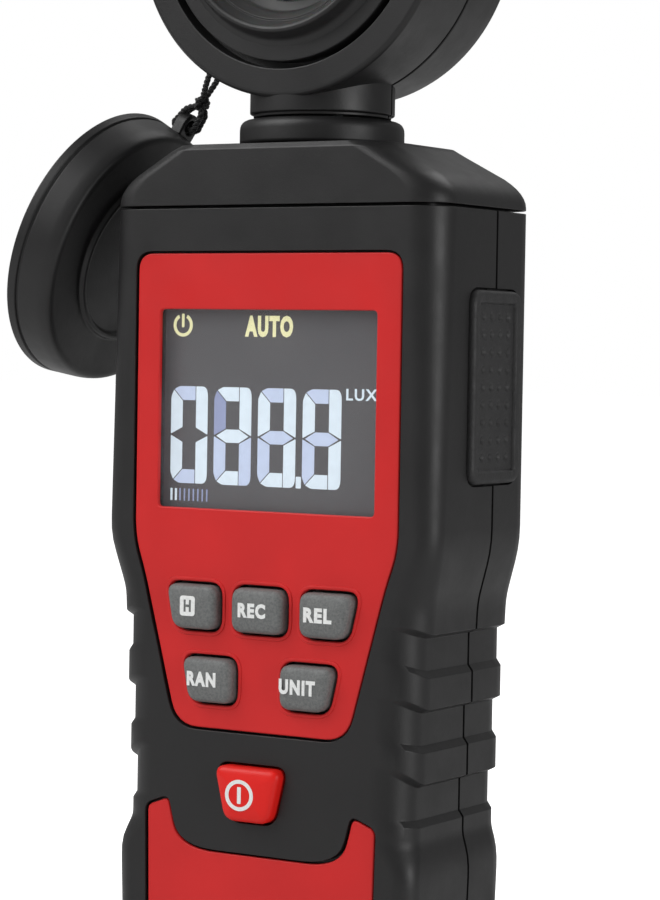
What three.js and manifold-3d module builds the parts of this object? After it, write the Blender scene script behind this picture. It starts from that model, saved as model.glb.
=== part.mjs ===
// Handheld light meter. A case of two hollow shells and a top cap holds the display, keys,
// circuit board and batteries. A round sensor head swivels on a neck above it, and the
// sensor's cap hangs from the head on a lanyard.
// Millimetres, +Z up. The front faces -Y, and the origin is the centre of the flat base.
import * as THREE from 'three';
import { mergeVertices } from 'three/addons/utils/BufferGeometryUtils.js';
import Module from 'manifold-3d';

const wasm = await Module();
wasm.setup();

// ---------------------------------------------------------------- driving dimensions

const GAP = 0.3;          // left between two pieces that touch on the real meter
const PARTING_GAP = 0.15; // each side of a line where two shells meet
const FAR = 200;          // further than any piece reaches, for cutting solids in half
const SIDES = 32;         // flats round a large turned piece

const CASE = {
  halfWidth: 27.1, front: -14, rear: 14.5, rearRound: 5.3,
  parting: 2.3, top: 120.1, baseRound: 2, wall: 2, frontWall: 2.6, floor: 2.2,
};
const FRONT_ROUND = { foot: 3, waist: 4.8, chest: 3.2, top: 5 };
const FOOT = { halfWidth: 23.5, flare: 30.6, flareHalfWidth: 24.45, waist: 34.2 };
const SHOULDER = { low: 66.5, lowHalfWidth: 25.1, high: 74 };
/** The grips at the waist: from each ledge down, a groove and then a ramp out to the next rib. */
const RIB = {
  count: 3, pitch: 10.15, top: 62.7, halfWidth: 24.95, taper: 0.53,
  depth: 1.2, ledge: 1, groove: 3.65, ramp: 1.3,
};
const CAVITY = { waistHalfWidth: 20, halfWidth: 24.8, waistTop: 62, chestBottom: 73, round: 2.5 };

const TOP_CAP = { top: 129, sideSlope: 10, rearSlope: 3, frontSlope: 0.6, straight: 0.8, wall: 2.8 };
const CAP_BEND = { height: 4, share: 0.3, brow: 0.9, browShare: 0.87 };
const CAP_LIP = { bottom: 117.4, clearance: 0.3, thickness: 1.2 };
const COLLAR = { radius: 11.6, bottom: 129.3, top: 132.85, shoulder: 1.2 };
const NECK = { radius: 5.2, bore: 3.6, bottom: 122.6, foot: 7.4, flange: 6.2, clearance: 0.25 };

const HEAD = {
  z: 160.2, radius: 24.5, frontRadius: 24.8, rearRadius: 24.2, front: -10.3, rear: 13.8,
  parting: 2.3, wall: 2, collarRadius: 10.2, collarBottom: 133.15, screwRing: 20.1,
  grooveInner: 19.8, grooveOuter: 20.8, grooveFloor: -7.3, innerFront: -6.1, rearEdge: 10.3,
};
const BEZEL = { base: 16.9, rim: 15.9, rimFront: -12.8, mouth: 11.3, mouthFront: -8.4, flange: 18.2 };
const DOME = { radius: 11, height: 4.2, wall: 1.3, flange: 12.4, flangeFront: -6.6 };
const EYELET = { angle: 212, reach: 26.6, y: 10, thickness: 1.6, radius: 2.4, hole: 1.4 };

const PANEL = { front: -13.75, thickness: 0.75, recess: 1.3 };
const PANEL_TOP = { halfWidth: 21.5, z: 113.9 };
const PANEL_BEND = { high: 74, low: 69, halfWidth: 19.7 };
const PANEL_BOTTOM = { halfWidth: 14, z: 47.8 };
const LOWER_PANEL = { bottom: 11, bottomHalfWidth: 18.2, hornTop: 37.7, hornOuter: 18.7 };
const BOWL = { bottom: 30.6, halfWidth: 13.4, rimHalfWidth: 15.2 };
const WINDOW = { halfWidth: 17.7, bottom: 78.4, top: 106.1, ledge: 0.6 };
const DISPLAY = {
  overlap: 1.6, lens: { y: [-12.7, -11.7] }, glass: { y: [-11.1, -9.3], z: [75.4, 108] },
  light: { y: [-9, -7.9], z: [78, 106.6] }, strip: { inset: 1, z: [75.7, 77.4] },
};
const BOARD = {
  front: -7.6, rear: -6, waist: 17, chest: 22.5, bottom: 31, waistTop: 64, chestBottom: 75, top: 107,
};
const PROCESSOR = { halfWidth: 5, height: 1.4, z: [84, 94] };

const KEY = { width: 8.7, height: 6.2, front: -15.5, foot: -10.6, flange: 0.9, play: 0.35 };
const KEYS = [
  { name: 'hold_key', x: -11.2, z: 64.7, slantLeft: 1.2 },
  { name: 'record_key', x: -0.1, z: 64.7, width: 8.4 },
  { name: 'relative_key', x: 11.2, z: 64.7, width: 8.9, slantRight: 1.4 },
  { name: 'range_key', x: -8.4, z: 54.6, slantLeft: 1.2 },
  { name: 'unit_key', x: 8.2, z: 54.6, width: 8.9, slantRight: 1.4 },
];
const POWER_KEY = {
  name: 'power_key', x: -1, z: 39.3, width: 11.4, height: 7.6, slant: 1.8, front: -16,
};

const PAD = { front: -5, rear: 8.7, bottom: 82.8, top: 109.2, proud: 0.8, depth: 1.1 };
const CELL = { radius: 5.25, length: 44.5, nub: 1, nubRadius: 1.9, y: 6.9, pitch: 11.2 };
const TRAY = { bottom: 8.2, top: 60.8, halfWidth: 18.6, wall: 1, front: 0.6, rear: 11.9 };
const DOOR = { halfWidth: 17.2, bottom: 9.3, top: 58.7, inner: 12.6 };
const SCREWS = [[-14.5, 4.9], [14.5, 4.9], [-21, 112.5], [21, 112.5]];
const SCREW = {
  shank: 1.3, head: 2.4, headSeat: 11.6, headHeight: 1.5, tip: -4, frontPost: 2.6, rearPost: 3,
};
const HEAD_SCREW = { shank: 1, head: 1.8, headHeight: 1.2, frontPost: 1.9, rearPost: 2.2 };
const SOCKET = { reach: 1.2, halfWidth: 0.25, depth: 0.7 };
const TRIPOD = { z: 86, radius: 4.4, bore: 3, inner: 7.6, boss: 6.4 };

const SENSOR_CAP = {
  faceRadius: 19.1, crest: 19.6, rim: 20.6, wall: 0.8, depth: 7, crestDepth: 1.6, face: 1.2,
  ring: 12.1, grooveFrom: 5.1, grooveTo: 5.7,
};
const SENSOR_CAP_AT = new THREE.Vector3(-35.1, 4.4, 113.7);
const SENSOR_CAP_TILT = 20.4;   // degrees by which the cap's face looks down
const LUG = { angle: 18, reach: 21.4, radius: 2, hole: 1.1, y: -3.2, thickness: 2 };
const CORD = { radius: 0.5, spread: 2.5, knot: new THREE.Vector3(-28.2, 11, 137.2), knotRadius: 1.25 };

const LOOKS = {
  blackPlastic: { color: 0x2e2d2e, roughness: 0.5, metalness: 0 },
  rubber: { color: 0x272728, roughness: 0.75, metalness: 0 },
  redPlastic: { color: 0xc82d2d, roughness: 0.35, metalness: 0 },
  keyGrey: { color: 0x6e7070, roughness: 0.6, metalness: 0 },
  powerRed: { color: 0xeb231e, roughness: 0.4, metalness: 0 },
  clear: { color: 0x9aa0a8, roughness: 0.08, metalness: 0 },
  lcd: { color: 0x524e50, roughness: 0.2, metalness: 0 },
  white: { color: 0xeeeeea, roughness: 0.45, metalness: 0 },
  board: { color: 0x1f6b3a, roughness: 0.5, metalness: 0 },
  chip: { color: 0x1a1a1c, roughness: 0.4, metalness: 0 },
  steel: { color: 0xb4b6ba, roughness: 0.3, metalness: 1 },
  brass: { color: 0xb8964a, roughness: 0.3, metalness: 1 },
  cell: { color: 0x2c3f8c, roughness: 0.35, metalness: 0.6 },
  silicone: { color: 0x8c8e90, roughness: 0.8, metalness: 0 },
  filter: { color: 0x6f8f6a, roughness: 0.1, metalness: 0 },
  cord: { color: 0x161617, roughness: 0.9, metalness: 0 },
};

// ---------------------------------------------------------------- solids

const radians = THREE.MathUtils.degToRad;

/** A three.js geometry as a solid that can be joined and cut. */
function solid(geometry) {
  const bare = geometry.clone();
  bare.deleteAttribute('normal');
  bare.deleteAttribute('uv');
  const merged = mergeVertices(bare, 1e-4);
  const triVerts = [];
  for (let i = 0; i < merged.index.count; i += 3) {
    const corners = [0, 1, 2].map((k) => merged.index.getX(i + k));
    if (new Set(corners).size === 3) triVerts.push(...corners);
  }
  const vertProperties = merged.attributes.position.array;
  return new wasm.Manifold(new wasm.Mesh({
    numProp: 3, vertProperties, triVerts: new Uint32Array(triVerts),
  }));
}

function toGeometry(manifold) {
  const { vertProperties, triVerts } = manifold.getMesh();
  const geometry = new THREE.BufferGeometry();
  geometry.setAttribute('position', new THREE.BufferAttribute(vertProperties, 3));
  geometry.setIndex(new THREE.BufferAttribute(triVerts, 1));
  geometry.computeVertexNormals();
  return geometry;
}

const join = (...solids) => solids.reduce((whole, next) => whole.add(next));
const cut = (body, ...tools) => tools.reduce((rest, tool) => rest.subtract(tool), body);

function block(x, y, z) {
  const box = new THREE.BoxGeometry(x[1] - x[0], y[1] - y[0], z[1] - z[0]);
  return solid(box.translate((x[0] + x[1]) / 2, (y[0] + y[1]) / 2, (z[0] + z[1]) / 2));
}

/** Shape axes and depth axis, in the meter's axes, for a plate across Y, X or Z. */
const PLATE_AXES = {
  x: new THREE.Matrix4().makeBasis(unit(0, 1, 0), unit(0, 0, 1), unit(1, 0, 0)),
  y: new THREE.Matrix4().makeBasis(unit(1, 0, 0), unit(0, 0, 1), unit(0, -1, 0)),
  z: new THREE.Matrix4(),
};

function unit(x, y, z) {
  return new THREE.Vector3(x, y, z).normalize();
}

/** A flat outline thickened along one axis, from one coordinate to a higher one. */
function plate(shape, axis, from, to) {
  const settings = { depth: to - from, bevelEnabled: false, curveSegments: 3 };
  const geometry = new THREE.ExtrudeGeometry(shape, settings);
  geometry.applyMatrix4(PLATE_AXES[axis]);
  const start = axis === 'y' ? to : from;
  geometry.translate(axis === 'x' ? start : 0, axis === 'y' ? start : 0, axis === 'z' ? start : 0);
  return solid(geometry);
}

/** A round bar along an axis through a point, from one coordinate to a higher one. */
function rod(radius, axis, centre, from, to, sides = 20) {
  const geometry = new THREE.CylinderGeometry(radius, radius, to - from, sides);
  if (axis === 'z') geometry.rotateX(Math.PI / 2);
  if (axis === 'x') geometry.rotateZ(Math.PI / 2);
  const middle = (from + to) / 2;
  const [a, b] = centre;
  const place = { x: [middle, a, b], y: [a, middle, b], z: [a, b, middle] }[axis];
  return solid(geometry.translate(...place));
}

/** A turned solid about Y. Each profile point is [radius, y], in either direction. */
function turned(profile, sides = SIDES) {
  const points = profile.map(([radius, y]) => new THREE.Vector2(Math.max(radius, 0), y));
  if (THREE.ShapeUtils.isClockWise(points)) points.reverse();
  return solid(new THREE.LatheGeometry(points, sides));
}

/** Profile points along a circular arc, with angles in degrees. */
function arc(centreX, centreY, radius, from, to, steps) {
  const points = [];
  for (let i = 0; i <= steps; i += 1) {
    const angle = radians(from + ((to - from) * i) / steps);
    points.push([centreX + radius * Math.cos(angle), centreY + radius * Math.sin(angle)]);
  }
  return points;
}

/** A closed skin through rings that all have the same number of points, lowest ring first. */
function loft(rings) {
  const count = rings[0].length;
  const centres = [rings[0], rings.at(-1)].map((ring) => ring
    .reduce((sum, point) => sum.add(point), new THREE.Vector3()).divideScalar(count));
  const points = [...rings.flat(), ...centres];
  const bottom = points.length - 2;
  const top = points.length - 1;
  const lastRing = (rings.length - 1) * count;
  const index = [];
  for (let i = 0; i < count; i += 1) {
    const next = (i + 1) % count;
    index.push(bottom, next, i, top, lastRing + i, lastRing + next);
    for (let base = 0; base < lastRing; base += count) {
      index.push(base + i, base + next, base + count + next);
      index.push(base + i, base + count + next, base + count + i);
    }
  }
  const geometry = new THREE.BufferGeometry().setFromPoints(points);
  geometry.setIndex(index);
  return solid(geometry);
}

/** A closed outline with rounded corners. Each corner is [across, up, radius]. */
function outline(corners) {
  const shape = new THREE.Shape();
  corners.forEach(([x, y, radius], i) => {
    const before = corners.at(i - 1);
    const after = corners[(i + 1) % corners.length];
    const corner = new THREE.Vector2(x, y);
    const start = corner.clone().add(towards(corner, before).multiplyScalar(radius));
    const end = corner.clone().add(towards(corner, after).multiplyScalar(radius));
    if (i === 0) shape.moveTo(start.x, start.y);
    else shape.lineTo(start.x, start.y);
    shape.quadraticCurveTo(x, y, end.x, end.y);
  });
  shape.closePath();
  return shape;
}

function towards(from, [x, y]) {
  return new THREE.Vector2(x, y).sub(from).normalize();
}

/** The same corners moved outward by a distance, for an anticlockwise outline. */
function grown(corners, distance) {
  return corners.map(([x, y, radius], i) => {
    const corner = new THREE.Vector2(x, y);
    const back = towards(corner, corners.at(i - 1));
    const ahead = towards(corner, corners[(i + 1) % corners.length]);
    const outA = new THREE.Vector2(-back.y, back.x);
    const outB = new THREE.Vector2(ahead.y, -ahead.x);
    const bisector = outA.add(outB).normalize();
    const reach = distance / Math.max(bisector.dot(outB), 0.3);
    return [x + bisector.x * reach, y + bisector.y * reach, radius + distance];
  });
}

function rectangle(x, y, radius) {
  return [[x[0], y[0], radius], [x[1], y[0], radius], [x[1], y[1], radius], [x[0], y[1], radius]];
}

// ---------------------------------------------------------------- the case's outer form

/** One level cut through the case: a rounded rectangle at height z. */
function caseRing(z, halfWidth, {
  inset = 0, front = CASE.front, rear = CASE.rear, round = CASE.rearRound, roundInFront = round,
} = {}) {
  const frontRound = Math.max(roundInFront - inset, 1);
  const rearRound = Math.max(round - inset, 1);
  const x = halfWidth - inset;
  const corners = [
    [x - frontRound, front + inset + frontRound, frontRound, 270],
    [x - rearRound, rear - inset - rearRound, rearRound, 0],
    [-x + rearRound, rear - inset - rearRound, rearRound, 90],
    [-x + frontRound, front + inset + frontRound, frontRound, 180],
  ];
  return corners.flatMap(([cx, cy, radius, start]) => arc(cx, cy, radius, start, start + 90, 3))
    .map(([px, py]) => new THREE.Vector3(px, py, z));
}

/** Heights, half-widths and front rounds up the side of the case: foot, flare, ribs, shoulder. */
function sideProfile() {
  const { foot, waist, chest, top } = FRONT_ROUND;
  const ribHalfWidth = (i) => RIB.halfWidth - RIB.taper * i;
  const levels = [
    [CASE.baseRound, FOOT.halfWidth, foot],
    [FOOT.flare, FOOT.flareHalfWidth, foot],
    [FOOT.waist, ribHalfWidth(RIB.count), waist],
  ];
  for (let i = RIB.count - 1; i >= 0; i -= 1) {
    const grooveTop = RIB.top - RIB.pitch * i - RIB.ledge;
    const grooveBottom = grooveTop - RIB.groove;
    const grooveHalfWidth = ribHalfWidth(i) - RIB.depth;
    levels.push([grooveBottom - RIB.ramp, ribHalfWidth(i + 1), waist]);
    levels.push([grooveBottom, grooveHalfWidth, waist], [grooveTop, grooveHalfWidth, waist]);
    levels.push([grooveTop + RIB.ledge, ribHalfWidth(i), waist]);
  }
  levels.push([SHOULDER.low, SHOULDER.lowHalfWidth, waist]);
  levels.push([SHOULDER.high, CASE.halfWidth, chest], [CASE.top, CASE.halfWidth, top]);
  return levels;
}

function caseForm() {
  const round = CASE.baseRound;
  const footRings = [[0, round], [round * 0.3, round * 0.3]].map(([z, inset]) => caseRing(
    z, FOOT.halfWidth, { inset, roundInFront: FRONT_ROUND.foot },
  ));
  const sideRings = sideProfile()
    .map(([z, halfWidth, roundInFront]) => caseRing(z, halfWidth, { roundInFront }));
  return loft([...footRings, ...sideRings]);
}

/** The space inside the case, open at the top, less an optional clearance all round. */
function caseCavity(clearance = 0) {
  const walls = {
    inset: clearance, round: CAVITY.round,
    front: CASE.front + CASE.frontWall, rear: CASE.rear - CASE.wall,
  };
  return loft([
    caseRing(CASE.floor, CAVITY.waistHalfWidth, walls),
    caseRing(CAVITY.waistTop, CAVITY.waistHalfWidth, walls),
    caseRing(CAVITY.chestBottom, CAVITY.halfWidth, walls),
    caseRing(CASE.top + 1, CAVITY.halfWidth, walls),
  ]);
}

const beforeY = (y) => block([-FAR, FAR], [-FAR, y], [-FAR, FAR]);
const behindY = (y) => block([-FAR, FAR], [y, FAR], [-FAR, FAR]);

// ---------------------------------------------------------------- outlines on the front

const facePanelCorners = [
  [-PANEL_BOTTOM.halfWidth, PANEL_BOTTOM.z, 3], [PANEL_BOTTOM.halfWidth, PANEL_BOTTOM.z, 3],
  [PANEL_BEND.halfWidth, PANEL_BEND.low, 1.5], [PANEL_TOP.halfWidth, PANEL_BEND.high, 1.5],
  [PANEL_TOP.halfWidth, PANEL_TOP.z, 2], [-PANEL_TOP.halfWidth, PANEL_TOP.z, 2],
  [-PANEL_TOP.halfWidth, PANEL_BEND.high, 1.5], [-PANEL_BEND.halfWidth, PANEL_BEND.low, 1.5],
];

/** The lower panel has two horns around the bowl in which the power key sits. */
const lowerPanelCorners = [
  [-LOWER_PANEL.bottomHalfWidth, LOWER_PANEL.bottom, 3],
  [LOWER_PANEL.bottomHalfWidth, LOWER_PANEL.bottom, 3],
  [LOWER_PANEL.hornOuter, LOWER_PANEL.hornTop - 1.3, 0.8],
  [BOWL.rimHalfWidth, LOWER_PANEL.hornTop, 0.8],
  [BOWL.halfWidth, BOWL.bottom, 4.5],
  [-BOWL.halfWidth, BOWL.bottom, 4.5],
  [-BOWL.rimHalfWidth, LOWER_PANEL.hornTop, 0.8],
  [-LOWER_PANEL.hornOuter, LOWER_PANEL.hornTop - 1.3, 0.8],
];

const windowCorners = rectangle([-WINDOW.halfWidth, WINDOW.halfWidth],
  [WINDOW.bottom, WINDOW.top], 0.6);

/** A key's outline: its lower corners are pulled in where a side slants. */
function keyCorners({ x, z, width = KEY.width, height = KEY.height, slantLeft = 0, slantRight = 0 }) {
  const left = x - width / 2;
  const right = x + width / 2;
  return [
    [left + slantLeft, z - height / 2, 1.5], [right - slantRight, z - height / 2, 1.5],
    [right, z + height / 2, 1.5], [left, z + height / 2, 1.5],
  ];
}

const powerCorners = keyCorners({
  ...POWER_KEY, slantLeft: POWER_KEY.slant, slantRight: POWER_KEY.slant,
});

const padCorners = rectangle([PAD.front, PAD.rear], [PAD.bottom, PAD.top], 1.6);

// ---------------------------------------------------------------- the case's shells

/** What is cut through the front wall for the panels, window and keys. */
function frontCuts() {
  const recessFloor = CASE.front + PANEL.recess;
  const inside = CASE.front + CASE.frontWall + 1;
  const cuts = [
    plate(outline(grown(facePanelCorners, GAP)), 'y', CASE.front - 1, recessFloor),
    plate(outline(grown(lowerPanelCorners, GAP)), 'y', CASE.front - 1, recessFloor),
    plate(outline(grown(windowCorners, WINDOW.ledge)), 'y', CASE.front - 1, inside),
    plate(outline(grown(powerCorners, KEY.play)), 'y', CASE.front - 1, inside),
  ];
  for (const key of KEYS) {
    cuts.push(plate(outline(grown(keyCorners(key), KEY.play)), 'y', CASE.front - 1, inside));
  }
  return cuts;
}

/** The shallow seats in the case's sides for the two grip pads. */
function padSeats() {
  const shape = outline(grown(padCorners, GAP));
  const depth = CASE.halfWidth - PAD.depth;
  return [plate(shape, 'x', depth, FAR), plate(shape, 'x', -FAR, -depth)];
}

function frontShell() {
  const pilot = SCREW.shank + 0.15;
  const frontInside = CASE.front + CASE.frontWall;
  const posts = SCREWS.map((at) => rod(SCREW.frontPost, 'y', at, frontInside - 0.5,
    CASE.parting - 0.5, 16));
  const holes = SCREWS.map((at) => rod(pilot, 'y', at, SCREW.tip - 1, CASE.parting, 12));
  const hull = cut(caseForm().intersect(beforeY(CASE.parting - PARTING_GAP)), caseCavity());
  return cut(join(hull, ...posts), ...holes, ...frontCuts(), ...padSeats());
}

function rearShell() {
  const inner = CASE.rear - CASE.wall;
  const posts = SCREWS.map((at) => rod(SCREW.rearPost, 'y', at, CASE.parting + 0.5, inner + 0.5, 16));
  const shanks = SCREWS.map((at) => rod(SCREW.shank + 0.25, 'y', at, 0, FAR, 12));
  const seats = SCREWS.map((at) => rod(SCREW.head + 0.4, 'y', at, SCREW.headSeat - GAP, FAR, 12));
  const boss = rod(TRIPOD.boss, 'y', [0, TRIPOD.z], TRIPOD.inner - 1, inner + 0.5);
  const thread = rod(TRIPOD.radius + GAP, 'y', [0, TRIPOD.z], TRIPOD.inner - GAP, FAR);
  const doorway = block([-DOOR.halfWidth - GAP, DOOR.halfWidth + GAP], [inner - 1, FAR],
    [DOOR.bottom - GAP, DOOR.top + GAP]);
  const hull = cut(caseForm().intersect(behindY(CASE.parting + PARTING_GAP)), caseCavity());
  return cut(join(hull, ...posts, boss), ...shanks, ...seats, thread, doorway, ...padSeats());
}

/** The cap's level cuts: its sides bend from upright into a slope, and its rear less so. */
function topCapForm(inset) {
  const bottom = CASE.top + PARTING_GAP;
  const slopeFrom = CASE.top + TOP_CAP.straight;
  const levels = [[inset > 0 ? bottom - 1 : bottom, 0], [slopeFrom, 0]];
  for (const part of [1 / 3, 2 / 3, 1]) {
    levels.push([slopeFrom + CAP_BEND.height * part - inset, CAP_BEND.share * part ** 2]);
  }
  const slopeHeight = TOP_CAP.top - slopeFrom;
  levels.push([slopeFrom + slopeHeight * CAP_BEND.brow - inset, CAP_BEND.browShare]);
  levels.push([TOP_CAP.top - inset, 1]);
  const rising = levels.filter(([z], i) => i === 0 || z > levels[i - 1][0]);
  return loft(rising.map(([z, share]) => caseRing(z, CASE.halfWidth - TOP_CAP.sideSlope * share, {
    inset,
    front: CASE.front + (share === 1 ? TOP_CAP.frontSlope : 0),
    rear: CASE.rear - TOP_CAP.rearSlope * share,
    roundInFront: FRONT_ROUND.top,
  })));
}

function topCap() {
  const lipBand = block([-FAR, FAR], [-FAR, FAR], [CAP_LIP.bottom, CASE.top + 1.2]);
  const lip = cut(caseCavity(CAP_LIP.clearance), caseCavity(CAP_LIP.clearance + CAP_LIP.thickness));
  const clearOfPosts = SCREWS.map((at) => rod(SCREW.rearPost + 0.6, 'y', at, -FAR, FAR, 12));
  const neckHole = rod(NECK.radius + NECK.clearance, 'z', [0, 0], CASE.top, FAR, SIDES);
  const skin = cut(topCapForm(0), topCapForm(TOP_CAP.wall));
  return cut(join(skin, lip.intersect(lipBand)), neckHole, ...clearOfPosts);
}

// ---------------------------------------------------------------- panels, display and keys

function facePanel() {
  const rear = PANEL.front + PANEL.thickness;
  const sheet = plate(outline(facePanelCorners), 'y', PANEL.front, rear);
  const holes = KEYS.map((key) => plate(outline(grown(keyCorners(key), KEY.play)), 'y', -FAR, FAR));
  return cut(sheet, plate(outline(windowCorners), 'y', -FAR, FAR), ...holes);
}

function lowerPanel() {
  return plate(outline(lowerPanelCorners), 'y', PANEL.front, PANEL.front + PANEL.thickness);
}

function displayStack() {
  const { overlap, lens, glass, light, strip } = DISPLAY;
  const halfWidth = WINDOW.halfWidth + overlap;
  const across = [-halfWidth, halfWidth];
  const stripAcross = [-halfWidth + strip.inset, halfWidth - strip.inset];
  return {
    display_window: plate(outline(grown(windowCorners, WINDOW.ledge - GAP)), 'y', ...lens.y),
    lcd_panel: block(across, glass.y, glass.z),
    backlight: block(across, light.y, light.z),
    elastomer_strip: block(stripAcross, light.y, strip.z),
  };
}

function mainBoard() {
  const { front, rear, waist, chest, bottom, waistTop, chestBottom, top } = BOARD;
  return plate(outline([
    [-waist, bottom, 1], [waist, bottom, 1], [waist, waistTop, 1], [chest, chestBottom, 1],
    [chest, top, 1], [-chest, top, 1], [-chest, chestBottom, 1], [-waist, waistTop, 1],
  ]), 'y', front, rear);
}

function processor() {
  const { halfWidth, height, z } = PROCESSOR;
  const foot = BOARD.rear + GAP;
  return block([-halfWidth, halfWidth], [foot, foot + height], z);
}

/** The sheet of rubber domes that the keys press on the board. */
function keypadMat() {
  return plate(outline([
    [-9, 33.5, 1.5], [9, 33.5, 1.5], [15.5, 50, 1.5], [16.6, 71, 1.5], [-16.6, 71, 1.5],
    [-15.5, 50, 1.5],
  ]), 'y', -9.5, BOARD.front - GAP);
}

/** A key and, behind the wall, the flange that keeps it in its hole. */
function keyBody(corners, front = KEY.front) {
  const flangeFront = CASE.front + CASE.frontWall + GAP;
  const stem = plate(outline(corners), 'y', front, KEY.foot);
  return join(stem, plate(outline(grown(corners, KEY.flange)), 'y', flangeFront, KEY.foot));
}

function sidePad(side) {
  const inner = CASE.halfWidth - PAD.depth + GAP;
  const outer = CASE.halfWidth + PAD.proud;
  const [from, to] = side > 0 ? [inner, outer] : [-outer, -inner];
  return plate(outline(padCorners), 'x', from, to);
}

// ---------------------------------------------------------------- batteries and fixings

function batteryTray() {
  const { bottom, top, halfWidth, wall, front, rear } = TRAY;
  const outside = block([-halfWidth, halfWidth], [front, rear], [bottom, top]);
  const inside = block([wall - halfWidth, halfWidth - wall], [front + wall * 0.7, FAR],
    [bottom + wall, top - wall]);
  return cut(outside, inside);
}

/** One cell, standing with its nub up or down. */
function cell(x, nubUp) {
  const can = CELL.length - CELL.nub;
  const { radius, nubRadius, length } = CELL;
  const profile = [[0, 0], [radius - 0.4, 0], [radius, 0.4], [radius, can - 0.4], [radius - 0.4, can],
    [nubRadius, can], [nubRadius, length], [0, length]];
  const start = nubUp ? TRAY.bottom + 5.8 : TRAY.top - 5.8;
  return turned(profile, 20).rotate([nubUp ? 90 : -90, 0, 0]).translate([x, CELL.y, start]);
}

class Coil extends THREE.Curve {
  constructor(centre, radius, height, turns) {
    super();
    Object.assign(this, { centre, radius, height, turns });
  }

  getPoint(t, target = new THREE.Vector3()) {
    const angle = 2 * Math.PI * this.turns * t;
    const { x, y, z } = this.centre;
    return target.set(x + this.radius * Math.cos(angle), y + this.radius * Math.sin(angle),
      z + this.height * t);
  }
}

/** A round cord or wire along a curve. */
function tube(curve, radius, steps, sides) {
  const section = new THREE.Shape(new THREE.Path().absarc(0, 0, radius, 0, 2 * Math.PI)
    .getSpacedPoints(sides).slice(0, sides));
  return solid(new THREE.ExtrudeGeometry(section, { extrudePath: curve, steps }));
}

function batterySpring(x, atBottom) {
  const z = atBottom ? TRAY.bottom + 2.5 : TRAY.top - 5.2;
  return tube(new Coil(new THREE.Vector3(x, CELL.y, z), 3.1, 2.7, 2.5), 0.35, 24, 5);
}

function contactPlate(x0, x1, atTop) {
  const z = atTop ? TRAY.top - 1.7 : TRAY.bottom + 1.3;
  return block([x0 - 4.2, x1 + 4.2], [CELL.y - 4.4, CELL.y + 4.4], [z, z + 0.4]);
}

/** The battery door is a piece of the case's rear wall. */
function batteryDoor() {
  return caseForm().intersect(block([-DOOR.halfWidth, DOOR.halfWidth], [DOOR.inner, FAR],
    [DOOR.bottom, DOOR.top]));
}

/** A pan-head screw along Y with its head at the rear and a shallow cross socket. */
function screw([x, z], seat, tip, { shank, head, headHeight } = SCREW) {
  const body = join(rod(shank, 'y', [x, z], tip, seat + 0.2, 10),
    rod(head, 'y', [x, z], seat, seat + headHeight, 12));
  const top = [seat + headHeight - SOCKET.depth, FAR];
  const { reach, halfWidth } = SOCKET;
  return cut(body, block([x - reach, x + reach], top, [z - halfWidth, z + halfWidth]),
    block([x - halfWidth, x + halfWidth], top, [z - reach, z + reach]));
}

function tripodInsert() {
  const rear = CASE.rear - 0.2;
  return cut(rod(TRIPOD.radius, 'y', [0, TRIPOD.z], TRIPOD.inner, rear),
    rod(TRIPOD.bore, 'y', [0, TRIPOD.z], TRIPOD.inner + 1, FAR));
}

// ---------------------------------------------------------------- neck and sensor head

function neckCollar() {
  const { radius, bottom, top, shoulder } = COLLAR;
  const bore = NECK.radius + NECK.clearance;
  const profile = [[bore, bottom], [radius, bottom],
    ...arc(radius - shoulder, top - shoulder, shoulder, 0, 90, 3), [bore, top], [bore, bottom]];
  return turned(profile).rotate([90, 0, 0]);
}

/** The hollow tube that the head turns on, flanged at both ends. */
function neckTube() {
  const flangeZ = HEAD.z - HEAD.radius + HEAD.wall + 2;
  const { radius, bore, bottom, foot, flange } = NECK;
  return cut(
    join(rod(radius, 'z', [0, 0], bottom, flangeZ + 1.2, SIDES),
      rod(flange, 'z', [0, 0], flangeZ, flangeZ + 1.2, SIDES),
      rod(foot, 'z', [0, 0], bottom, bottom + 1.2, SIDES)),
    rod(bore, 'z', [0, 0], 0, FAR, 24),
  );
}

/** The washer between the top cap's roof and the neck tube's foot. */
function neckWasher() {
  const bottom = NECK.bottom + 1.2 + GAP;
  const top = TOP_CAP.top - TOP_CAP.wall - GAP;
  return cut(rod(8.6, 'z', [0, 0], bottom, top, SIDES),
    rod(NECK.radius + NECK.clearance, 'z', [0, 0], 0, FAR, SIDES));
}

/** Room in the head's shells for the neck tube and its upper flange. */
function neckPocket() {
  const flangeZ = HEAD.z - HEAD.radius + HEAD.wall + 2;
  return join(rod(NECK.radius + 0.2, 'z', [0, 0], HEAD.collarBottom - 1, flangeZ + 2, SIDES),
    rod(NECK.flange + 0.3, 'z', [0, 0], flangeZ - GAP, flangeZ + 1.2 + GAP, SIDES));
}

const headScrewSpots = [90, 210, 330].map((angle) => [
  HEAD.screwRing * Math.cos(radians(angle)), HEAD.z + HEAD.screwRing * Math.sin(radians(angle)),
]);

function headSkin(profile) {
  const collar = rod(HEAD.collarRadius, 'z', [0, 0], HEAD.collarBottom, HEAD.z - 19.5, SIDES);
  return { turnedSkin: turned(profile).translate([0, 0, HEAD.z]), collar };
}

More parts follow.
